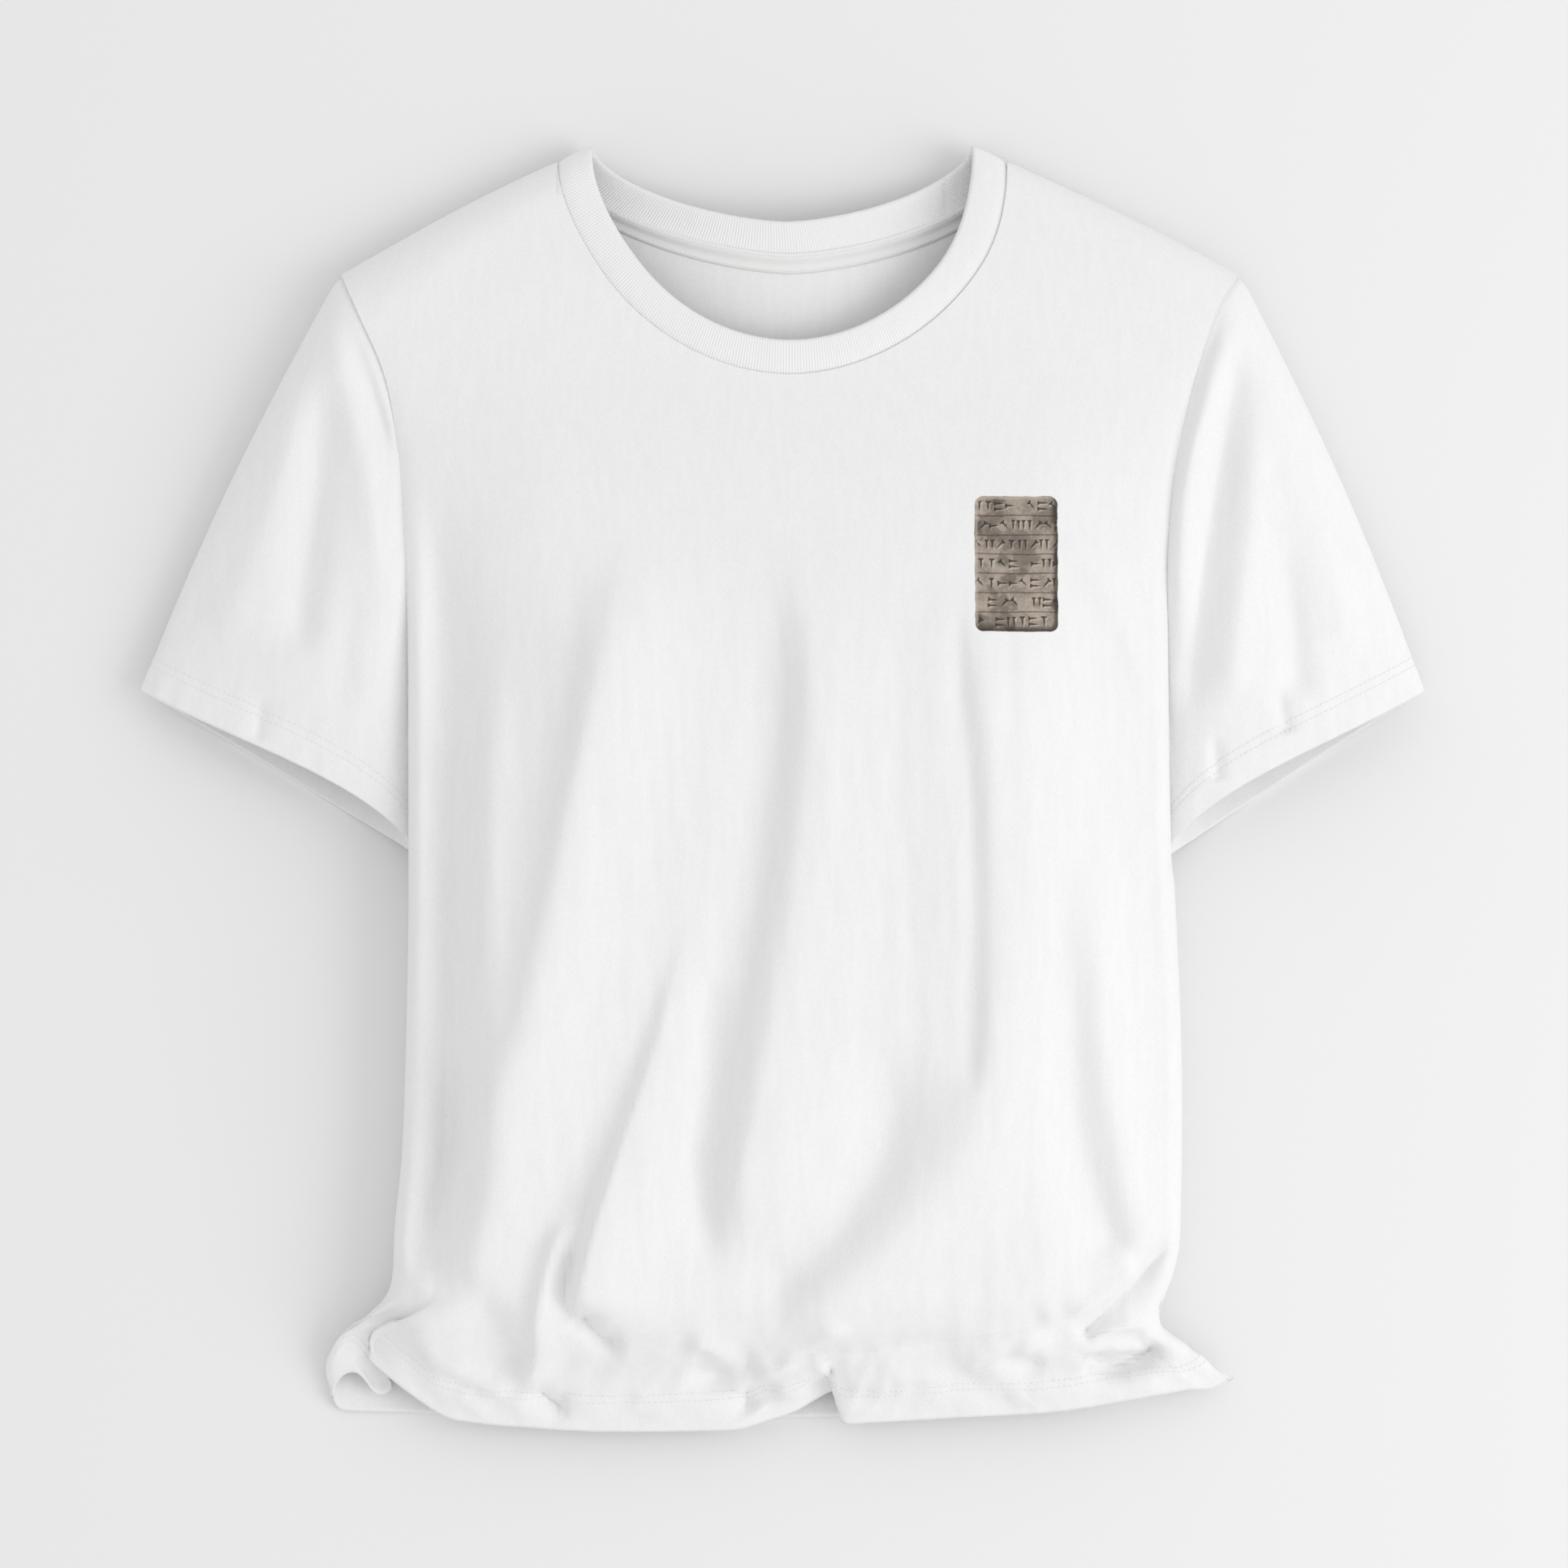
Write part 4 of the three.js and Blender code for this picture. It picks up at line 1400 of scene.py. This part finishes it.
class FrontPanel(BodyPanel):
    """The front of the body, with the folds that the shirt lies in and the print."""

    node = "front_body"

    def folded(self, points: np.ndarray) -> np.ndarray:
        """The front with its folds and its fine ripples.

        Args:
            points: The points of the smooth panel.

        Returns:
            The folded panel's points.
        """
        x, y = points[..., 0], points[..., 1]
        inset, shoulder = rounding(x, y)
        weight = ramp(inset, 0.0, 24.0) ** 0.7 * ramp(shoulder, 0.2, 1.0)
        moved = points + fold_push(BODY_FOLDS, x, y) * weight[..., None]
        ripple = value_noise(x / 8.5, y / 70.0, 11) + 0.6 * value_noise(x / 4.2 + y / 90, y / 38.0, 12)
        moved[..., 2] += 0.42 * ripple * weight * ramp(y, 165, 40)
        return moved

    def flat(self) -> tuple[float, float, float]:
        """Width, length and area of the cut cloth, in metres and square metres."""
        return 0.5, 0.72, 0.326

    def rests_on(self) -> list[str]:
        """Names of what the piece lies on."""
        return ["back_body_cloth"]

    def build(self) -> bpy.types.Object:
        """Makes the panel's object, with the print as its second material."""
        made = super().build()
        made.data.materials.append(FINISHES.chest_print.material())
        count = len(made.data.vertices)
        spots = np.empty(count * 3)
        made.data.vertices.foreach_get("co", spots)
        spots = spots.reshape(-1, 3) / MM
        within = FINISHES.chest_print.inside(spots[:, 0], spots[:, 1], 8.0)
        for face in made.data.polygons:
            if face.vertices[0] < count // 2 and within[list(face.vertices)].all():
                face.material_index = 1
        return made


class BackPanel(BodyPanel):
    """The back of the body, which lies flat on the floor."""

    node = "back_body"
    neckline = Neckline.BACK
    hem_line = BACK_HEM
    edge_columns = 24
    middle_columns = 80
    row_count = 150
    upright = 1.0
    crumple = 0.0
    curl = 60.0

    def height(self, x: np.ndarray, y: np.ndarray) -> np.ndarray:
        """Height of the back's outer face.

        Args:
            x: First coordinates in plan.
            y: Second coordinates.

        Returns:
            The height.
        """
        return back_height(x, y)

    def folded(self, points: np.ndarray) -> np.ndarray:
        """The back with soft waves where it isn't pressed flat.

        Args:
            points: The points of the smooth panel.

        Returns:
            The points with the waves.
        """
        x, y = points[..., 0], points[..., 1]
        wave = 0.8 * (1 + value_noise(x / 38.0 + y / 160.0, y / 120.0, 21))
        wave = wave + 0.2 * (1 + value_noise(x / 9.0, y / 60.0, 22))
        moved = points.copy()
        moved[..., 2] += wave * ramp(y, 262.0, 190.0)
        return moved

    def finished(self, cloth: Cloth) -> Cloth:
        """The panel turned over, with its hem's stitching, kept above the floor.

        Args:
            cloth: The panel without it.

        Returns:
            The finished panel.
        """
        turned = super().finished(replace(cloth, points=cloth.points * (-1, 1, -1), upright=-cloth.upright))
        points = turned.points * (-1, 1, -1)
        points[..., 2] = np.maximum(points[..., 2], 0.0)
        return Cloth(points[::-1], upright=self.upright)

    def flat(self) -> tuple[float, float, float]:
        """Width, length and area of the cut cloth, in metres and square metres."""
        return 0.5, 0.74, 0.325


class Sleeve(Piece):
    """A short sleeve: one loop of cloth from the armhole to the turned cuff.

    Attributes:
        side: -1 for the sleeve on the -X side, the wearer's right, and 1 for the other.
        cuff_round: Width of the flattened cuff.
        cuff_slope: Degrees that the cuff's edge falls towards the body.
        folds: Its folds.
        length: Length along the outer fold.
        slope: Degrees that the outer fold falls from level.
        cuff_pull: How far the upper layer's cuff is drawn back.
        bulge: How far the outer fold bows outward.
        clearance: Where the cuff's inner end lies beside the body's edge, negative under it.
        underarm_tuck: How far the armhole's edge lies under the body's edge.
        crown: Height of the sleeve's middle over its folds.
        cuff_crown: The same at the cuff.
        inner_rise: Height of the fold at the underarm.
    """

    length = 243.0
    slope = 65.0
    cuff_pull = 11.0
    bulge = 5.0
    clearance = -2.4
    underarm_tuck = 3.4
    crown = 26.0
    cuff_crown = 19.0
    inner_rise = 15.0

    def __init__(self, node: str, side: int, cuff: Point, folds: Sequence[Fold]) -> None:
        """Keeps what differs between the sleeves.

        Args:
            node: The CAD node's name.
            side: -1 for -X and 1 for +X.
            cuff: Width of the flattened cuff, and the degrees that its edge falls.
            folds: The sleeve's folds.
        """
        self.node, self.side, self.folds = node, side, folds
        self.cuff_round, self.cuff_slope = cuff

    def plan(self, w: np.ndarray, c: np.ndarray, upper: bool) -> np.ndarray:
        """Plan position of the sleeve's points.

        Args:
            w: 0 at the armhole and 1 at the cuff.
            c: 0 at the outer fold and 1 at the underarm.
            upper: True for the upper layer, whose cuff is drawn back.

        Returns:
            Points with two coordinates in the last axis.
        """
        slope, cuff = math.radians(self.slope), math.radians(self.cuff_slope)
        y = CUT.shoulder_y - CUT.armhole_drop * c
        armhole = np.stack([edge_x(y, self.side) * self.side, y], -1)
        outer = np.array(
            [
                CUT.shoulder_half + self.length * math.cos(slope),
                CUT.shoulder_y - self.length * math.sin(slope),
            ]
        )
        inner = outer - self.cuff_round * np.array([math.cos(cuff), math.sin(cuff)])
        inner[0] = self.side * float(edge_x(np.array(inner[1]), self.side)) + self.clearance
        plan = mix(armhole, mix(outer, inner, c[..., None]), w[..., None])
        plan[..., 0] += self.bulge * np.sin(np.pi * w) * (1 - c)
        plan[..., 0] += (SEAM_GAP + CUT.cloth * (2 * c - 1) ** 2) * (1 - w) - 2.0 * self.tucked(w, 2.0)
        plan[..., 0] -= self.underarm_tuck * ramp(c, 0.1, 0.5) * (1 - w)
        if upper:
            drawn = self.cuff_pull * w * w * np.maximum(np.sin(np.pi * c * c), 0) ** 0.6
            plan += drawn[..., None] * np.array([-math.sin(cuff), math.cos(cuff)])
        plan[..., 0] *= self.side
        return plan

    def tucked(self, w: np.ndarray, reach: float) -> np.ndarray:
        """How far the sleeve's points lie under the body's edge.

        Args:
            w: 0 at the armhole and 1 at the cuff.
            reach: Length over which they come clear of it.

        Returns:
            1 where they lie well under it and 0 where they are clear.
        """
        return np.exp(-((w * self.length / reach) ** 2))

    def height(self, w: np.ndarray, c: np.ndarray, upper: bool) -> np.ndarray:
        """Height of the sleeve's outer face without folds.

        Args:
            w: 0 at the armhole and 1 at the cuff.
            c: 0 at the outer fold and 1 at the underarm.
            upper: True for the upper layer.

        Returns:
            The height.
        """
        y = CUT.shoulder_y - CUT.armhole_drop * c
        x = edge_x(y, self.side)
        fold = mix(CUT.shoulder_rise, self.inner_rise, c)
        arch = np.maximum(np.sin(np.pi * c), 0)
        if upper:
            armhole = front_height(x, y)
            fuller = (self.crown - self.cuff_crown) * np.sin(np.pi * w) * arch
            return mix(armhole, fold + self.cuff_crown * np.sqrt(arch), ramp(w, 0, 1)) + fuller
        return mix(back_height(x, y), fold * (1 - np.sqrt(arch)), ramp(w, 0, 1))

    def along(self) -> np.ndarray:
        """Shares of the way from armhole to cuff at which the rows run."""
        return np.concatenate([0.03 * np.linspace(0, 1, 10), np.linspace(0.03, 1, 112)[1:]])

    def cloth(self) -> Cloth:
        """The sleeve's outer face."""
        w = self.along()
        layers = []
        for upper, count in ((True, 120), (False, 70)):
            share = np.linspace(0, 1, count)
            c = mix(share, (1 - np.cos(np.pi * share)) / 2, 0.8)
            across, along = np.meshgrid(c, w, indexing="ij")
            points = np.concatenate(
                [self.plan(along, across, upper), self.height(along, across, upper)[..., None]], -1
            )
            if upper:
                weight = np.sin(np.pi * across) ** 0.5
                move = fold_push(self.folds, points[..., 0], points[..., 1])
                points += move * (weight * ramp(along, 0.0, 0.08))[..., None]
                layers.append(points)
            else:
                layers.append(points[1:-1][::-1])
        points = np.concatenate(layers)
        points[..., 2] = np.maximum(points[..., 2], 0.05)
        return self.finished(Cloth(points if self.side < 0 else points[::-1], looped=True))

    def finished(self, cloth: Cloth) -> Cloth:
        """The sleeve with its cuff's stitching.

        Args:
            cloth: The sleeve without it.

        Returns:
            The finished sleeve.
        """
        end = cloth.points[:, -1]
        passed = np.concatenate([[0], np.cumsum(np.linalg.norm(np.diff(end, axis=0), axis=1))])
        along = np.broadcast_to(passed[:, None], cloth.points.shape[:2])
        w = np.broadcast_to(self.along()[None, :], cloth.points.shape[:2])
        relief = crimp(cloth.from_end(), along, CUFF_TURN, 31 + self.side) - 1.2 * self.tucked(w, 6.0)
        lifted = cloth.lifted(relief)
        lifted.points[..., 2] = np.maximum(lifted.points[..., 2], 0.0)
        return lifted

    def flat(self) -> tuple[float, float, float]:
        """Width, length and area of the cut cloth, in metres and square metres."""
        return 0.39, 0.245, 0.055

    def build(self) -> bpy.types.Object:
        """Makes the sleeve's object."""
        cloth = self.cloth()
        mesh = cloth.mesh(self.node, CUT.cloth * (1 + ramp(cloth.from_end(), CUFF_TURN + 1, CUFF_TURN)))
        made = self.place(mesh, [FINISHES.jersey.material()])
        self.declare(made, cloth)
        return made

    def stitches(self) -> list[StitchRow]:
        """The two rows of stitches around the cuff."""
        cloth = self.cloth()
        return [StitchRow.on(cloth, CUFF_TURN - back, 3.0) for back in (0.0, 4.3)]


class Collar(Piece):
    """The collar: rib folded double, joined into a loop around the neck.

    Attributes:
        thickness: Thickness of the doubled rib.
        lift: How far its front stands off the smooth panel at the free edge.
        tuck: How far it runs under the panels at the seam.
        rib_pitch: Distance between ribs.
        rib_depth: Half the height of a rib.
        steps_per_rib: Points along one rib's pitch.
        join_x: Where the short seam that closes the loop lies.
        roll_drop: How far the rolled edges fall away.
        seam_dip: How far the rib is pressed down at the seam.
        seam_dip_width: Width of that dip.
        edge_thickness: Share of the thickness that is left at the edges.
    """

    node = "collar_rib"
    slot = "rib"
    thickness = 2.0
    lift = 3.0
    tuck = 2.0
    rib_pitch = 1.55
    rib_depth = 0.2
    steps_per_rib = 5
    join_x = 86.0
    roll_drop = 0.8
    seam_dip = 0.8
    seam_dip_width = 4.0
    edge_thickness = 0.55

    def stations(self, neckline: Neckline) -> tuple[np.ndarray, np.ndarray]:
        """Shares of half a neckline at even distances along its seam.

        Args:
            neckline: Which neckline.

        Returns:
            The shares and their distances from the middle.
        """
        share = np.linspace(0, 1, 3000)
        seam = neckline.seam(share)
        passed = np.concatenate([[0], np.cumsum(np.hypot(*np.diff(seam, axis=0).T))])
        ribs = round(passed[-1] / self.rib_pitch)
        even = np.linspace(0, passed[-1], ribs * self.steps_per_rib + 1)
        return np.interp(even, passed, share), np.linspace(0, ribs, len(even))

    def half(self, neckline: Neckline, side: int) -> tuple[np.ndarray, np.ndarray]:
        """Half of the collar over one neckline, from the middle to the shoulder.

        Args:
            neckline: Which neckline.
            side: -1 for the -X half and 1 for the +X half.

        Returns:
            Points as [station, row, coordinate], from the free edge to the seam, and each station's rib
            number.
        """
        share, rib = self.stations(neckline)
        across = np.linspace(0, 1, 12)
        seam, edge = neckline.seam(share), neckline.free_edge(share)
        gap = -self.tuck / np.linalg.norm(edge - seam, axis=1)
        k = gap[:, None] + (1 - gap[:, None]) * (1 - across[None, :])
        p = mix(seam[:, None, :], edge[:, None, :], k[..., None])
        x = side * p[..., 0] + middle_x(p[..., 1])
        if neckline is Neckline.FRONT:
            z = front_height(x, p[..., 1]) + self.lift * np.cos(share * np.pi / 2)[:, None] * k
        else:
            z = back_height(x, p[..., 1])
        return np.stack([x, p[..., 1], z], -1), rib

    def cloth(self) -> tuple[Cloth, np.ndarray]:
        """The collar's outer face, and how far its ribs stand out of it."""
        front_minus, rib_a = self.half(Neckline.FRONT, -1)
        front_plus, rib_b = self.half(Neckline.FRONT, 1)
        back_plus, rib_c = self.half(Neckline.BACK, 1)
        back_minus, rib_d = self.half(Neckline.BACK, -1)
        points = np.concatenate([front_minus[:0:-1], front_plus, back_plus[-2::-1], back_minus[1:-1]])
        rib = np.concatenate([rib_a[:0:-1], rib_b, rib_c[-2::-1], rib_d[1:-1]])
        across = np.linspace(0, 1, points.shape[1])[None, :]
        roll = self.roll_drop * (np.maximum(np.sin(np.pi * across), 0) ** 0.6 - 1)
        under = -self.seam_dip * np.exp(-(((1 - across) * CUT.collar_width / self.seam_dip_width) ** 2))
        lifted = Cloth(points, looped=True).lifted(roll + under)
        lifted.points[..., 2] = np.maximum(lifted.points[..., 2], 0.0)
        ends = ramp(across, 0, 0.1) * ramp(across, 1.0, 0.92)
        return lifted, self.rib_depth * np.cos(2 * np.pi * rib)[:, None] * ends

    def flat(self) -> tuple[float, float, float]:
        """Width, length and area of the cut cloth, in metres and square metres."""
        return 0.0245, 0.56, 0.0137

    def build(self) -> bpy.types.Object:
        """Makes the collar's object."""
        cloth, ribs = self.cloth()
        across = np.linspace(-1, 1, cloth.points.shape[1])[None, :]
        on_back = cloth.points[..., 2] < CUT.shoulder_rise
        join = 0.25 * on_back * np.exp(-(((cloth.points[..., 0] - self.join_x) / 0.7) ** 2))
        crown = (1 - self.edge_thickness) * np.sqrt(1 - across**4)
        thickness = self.thickness * (self.edge_thickness + crown - join)
        mesh = cloth.mesh(self.node, thickness, ribs)
        made = self.place(mesh, [FINISHES.rib.material()])
        self.declare(made, cloth)
        return made


class NeckTape(Piece):
    """The tape over the back neck's seam, on the inside of the back."""

    node = "neck_tape"
    slot = "tape"
    width = 11.0
    reach = 0.68
    thickness = 0.35
    overlap = 1.2

    def cloth(self) -> Cloth:
        """The tape's upper face."""
        half = Neckline.BACK.seam(self.reach * np.linspace(0, 1, 120))
        line = np.concatenate([half[:0:-1] * (-1, 1), half])
        across = np.linspace(0, 1, 9)
        x = line[:, None, 0] + 0 * across
        y = line[:, None, 1] + self.overlap - across * self.width
        x = x + middle_x(y)
        seam_side = Cloth(np.stack([x, y, back_height(x, y)], -1))
        roll = 0.1 * np.sin(np.pi * across) + 1.7 * ramp(across, 0.56, 0.3)
        return seam_side.lifted(CUT.cloth + 0.05 + self.thickness + roll[None, :])

    def flat(self) -> tuple[float, float, float]:
        """Width, length and area of the cut cloth, in metres and square metres."""
        return 0.011, 0.19, 0.00205

    def rests_on(self) -> list[str]:
        """Names of what the piece lies on."""
        return ["back_body_cloth"]

    def build(self) -> bpy.types.Object:
        """Makes the tape's object."""
        cloth = self.cloth()
        made = self.place(cloth.mesh(self.node, self.thickness), [FINISHES.tape.material()])
        self.declare(made, cloth)
        return made

    def stitches(self) -> list[StitchRow]:
        """The rows of stitches along the tape's two edges."""
        cloth = self.cloth()
        return [StitchRow.on(cloth, back, 2.6) for back in (1.6, self.width - 1.6)]


@dataclass(frozen=True)
class Stitching:
    """The thread of several rows of stitches, spread by geometry nodes.

    Attributes:
        name: The object's name.
        rows: The rows.
        slot: Name of a material slot, which nothing in this script reads.
        length: Length of a stitch, in millimetres.
        width: Its width.
        seed: Picks which stitches are a little longer.
    """

    name: str
    rows: Sequence[StitchRow]
    slot: str = "jersey"
    length: float = 2.3
    width: float = 0.55
    seed: int = 3

    def tree(self) -> bpy.types.NodeTree:
        """Builds the tree that puts a stitch on every point."""
        tree = bpy.data.node_groups.new(self.name, "GeometryNodeTree")
        tree.interface.new_socket("Points", in_out="INPUT", socket_type="NodeSocketGeometry")
        for label, kind in (("Length", "Float"), ("Width", "Float"), ("Seed", "Int"), ("Thread", "Material")):
            tree.interface.new_socket(label, in_out="INPUT", socket_type="NodeSocket" + kind)
        tree.interface.new_socket("Stitches", in_out="OUTPUT", socket_type="NodeSocketGeometry")
        nodes = Nodes(tree)
        given = nodes.add("NodeGroupInput").outputs
        size = nodes.add("ShaderNodeCombineXYZ", {0: given["Length"], 1: given["Width"], 2: given["Width"]})
        ball = nodes.add("GeometryNodeMeshUVSphere", {"Segments": 6, "Rings": 5, "Radius": 0.5})
        along = nodes.add("GeometryNodeInputNamedAttribute", {"Name": "along"}, data_type="FLOAT_VECTOR")
        outward = nodes.add("GeometryNodeInputNamedAttribute", {"Name": "outward"}, data_type="FLOAT_VECTOR")
        lying = nodes.add("FunctionNodeAlignRotationToVector", {"Vector": along.outputs[0]}, axis="X")
        upright = nodes.add(
            "FunctionNodeAlignRotationToVector",
            {"Rotation": lying.outputs[0], "Vector": outward.outputs[0]},
            axis="Z",
            pivot_axis="X",
        )
        vary = nodes.add(
            "FunctionNodeRandomValue", {2: 0.92, 3: 1.08, "Seed": given["Seed"]}, data_type="FLOAT"
        )
        scaled = nodes.add(
            "ShaderNodeVectorMath", {0: size.outputs[0], "Scale": vary.outputs[1]}, operation="SCALE"
        )
        spread = nodes.add(
            "GeometryNodeInstanceOnPoints",
            {
                "Points": given["Points"],
                "Instance": ball.outputs[0],
                "Rotation": upright.outputs[0],
                "Scale": scaled.outputs[0],
            },
        )
        real = nodes.add("GeometryNodeRealizeInstances", {0: spread.outputs[0]})
        smooth = nodes.add("GeometryNodeSetShadeSmooth", {0: real.outputs[0]})
        dressed = nodes.add("GeometryNodeSetMaterial", {0: smooth.outputs[0], "Material": given["Thread"]})
        nodes.add("NodeGroupOutput", {0: dressed.outputs[0]})
        return tree

    def build(self) -> bpy.types.Object:
        """Makes the thread's object, with the modifier turned into a plain mesh."""
        mesh = bpy.data.meshes.new(self.name)
        points = np.concatenate([row.points for row in self.rows]) * MM
        mesh.from_pydata(points.tolist(), [], [])
        for label in ("along", "outward"):
            values = np.concatenate([getattr(row, label) for row in self.rows])
            mesh.attributes.new(label, "FLOAT_VECTOR", "POINT").data.foreach_set("vector", values.ravel())
        made = bpy.data.objects.new(self.name, mesh)
        bpy.context.scene.collection.objects.link(made)
        modifier = made.modifiers.new("stitches", "NODES")
        modifier.node_group = self.tree()
        thread = FINISHES.thread.material()
        wanted = {"Length": self.length * MM, "Width": self.width * MM, "Seed": self.seed, "Thread": thread}
        for item in modifier.node_group.interface.items_tree:
            if item.in_out == "INPUT" and item.name in wanted:
                modifier[item.identifier] = wanted[item.name]
        graph = bpy.context.evaluated_depsgraph_get()
        plain = bpy.data.meshes.new_from_object(made.evaluated_get(graph))
        made.modifiers.clear()
        made.data = plain
        plain.name = self.name
        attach(made, "root")
        log.info("%s: %d stitches, %d faces", self.name, len(points), len(plain.polygons))
        return made


class Shirt:
    """The whole shirt."""

    def __init__(self) -> None:
        """Lists its pieces."""
        self.front = FrontPanel()
        self.back = BackPanel()
        self.right_sleeve = Sleeve("right_sleeve", -1, (167.0, 30.9), RIGHT_SLEEVE_FOLDS)
        self.left_sleeve = Sleeve("left_sleeve", 1, (162.0, 33.0), LEFT_SLEEVE_FOLDS)
        self.collar = Collar()
        self.tape = NeckTape()

    def build(self) -> None:
        """Makes every piece and its stitches."""
        for piece in (self.back, self.front, self.right_sleeve, self.left_sleeve, self.collar, self.tape):
            piece.build()
        sewn = {
            "hem": self.front,
            "back_hem": self.back,
            "right_cuff": self.right_sleeve,
            "left_cuff": self.left_sleeve,
        }
        for name, piece in sewn.items():
            Stitching(name + "_thread", piece.stitches()).build()
        Stitching("tape_thread", self.tape.stitches(), "tape", 2.0, 0.5).build()


@dataclass(frozen=True)
class Studio:
    """The floor, the lights and the camera.

    Attributes:
        floor_colour: Linear colour of the floor.
        sky: Strength of the even light from all round.
        key_power: Power of the large soft lamp, in watts.
        key_at: Where it hangs, in metres.
        key_size: Its width and height.
        camera_at: Where the camera is, looking straight down.
        lens: Its focal length in millimetres.
    """

    floor_colour: tuple[float, float, float] = (0.84, 0.84, 0.84)
    sky: float = 0.83
    key_power: float = 24.5
    key_at: tuple[float, float, float] = (2.15, -0.4, 1.85)
    key_size: Point = (1.8, 1.8)
    camera_at: tuple[float, float, float] = (0.0009, 0.0021, 2.6)
    lens: float = 112.3

    def floor(self) -> bpy.types.Object:
        """Makes the floor."""
        mesh = bpy.data.meshes.new("floor")
        half, low = 6.0, -0.3 * MM
        corners = [(-half, -half, low), (half, -half, low), (half, half, low), (-half, half, low)]
        mesh.from_pydata(corners, [], [(0, 1, 2, 3)])
        made = bpy.data.objects.new("floor", mesh)
        bpy.context.scene.collection.objects.link(made)
        paint = bpy.data.materials.new("floor_paint")
        paint.use_nodes = True
        shader = paint.node_tree.nodes["Principled BSDF"]
        shader.inputs["Base Color"].default_value = (*self.floor_colour, 1.0)
        shader.inputs["Roughness"].default_value = 0.9
        shader.inputs["Specular IOR Level"].default_value = 0.1
        mesh.materials.append(paint)
        return made

    def light(self) -> None:
        """Hangs the lamp and sets the even light."""
        world = bpy.data.worlds.new("studio")
        world.use_nodes = True
        world.node_tree.nodes["Background"].inputs[0].default_value = (1.0, 1.0, 1.0, 1.0)
        world.node_tree.nodes["Background"].inputs[1].default_value = self.sky
        bpy.context.scene.world = world
        lamp = bpy.data.lights.new("key", "AREA")
        lamp.shape = "RECTANGLE"
        lamp.size, lamp.size_y = self.key_size
        lamp.energy = self.key_power
        made = bpy.data.objects.new("key", lamp)
        made.location = self.key_at
        aim = Vector((0.0, 0.0, 0.03)) - Vector(self.key_at)
        made.rotation_euler = aim.to_track_quat("-Z", "Y").to_euler()
        bpy.context.scene.collection.objects.link(made)

    def camera(self) -> None:
        """Sets the camera."""
        lens = bpy.data.cameras.new("camera")
        lens.lens = self.lens
        lens.dof.use_dof = False
        made = bpy.data.objects.new("camera", lens)
        made.location = self.camera_at
        bpy.context.scene.collection.objects.link(made)
        bpy.context.scene.camera = made

    def build(self) -> None:
        """Makes the whole set."""
        self.floor()
        self.light()
        self.camera()
        bpy.context.scene.view_settings.view_transform = "Standard"


FINISHES = Finishes()


def main() -> None:
    """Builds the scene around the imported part."""
    logging.basicConfig(level=logging.INFO, format="%(message)s")
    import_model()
    Shirt().build()
    Studio().build()


if __name__ == "__main__":
    main()
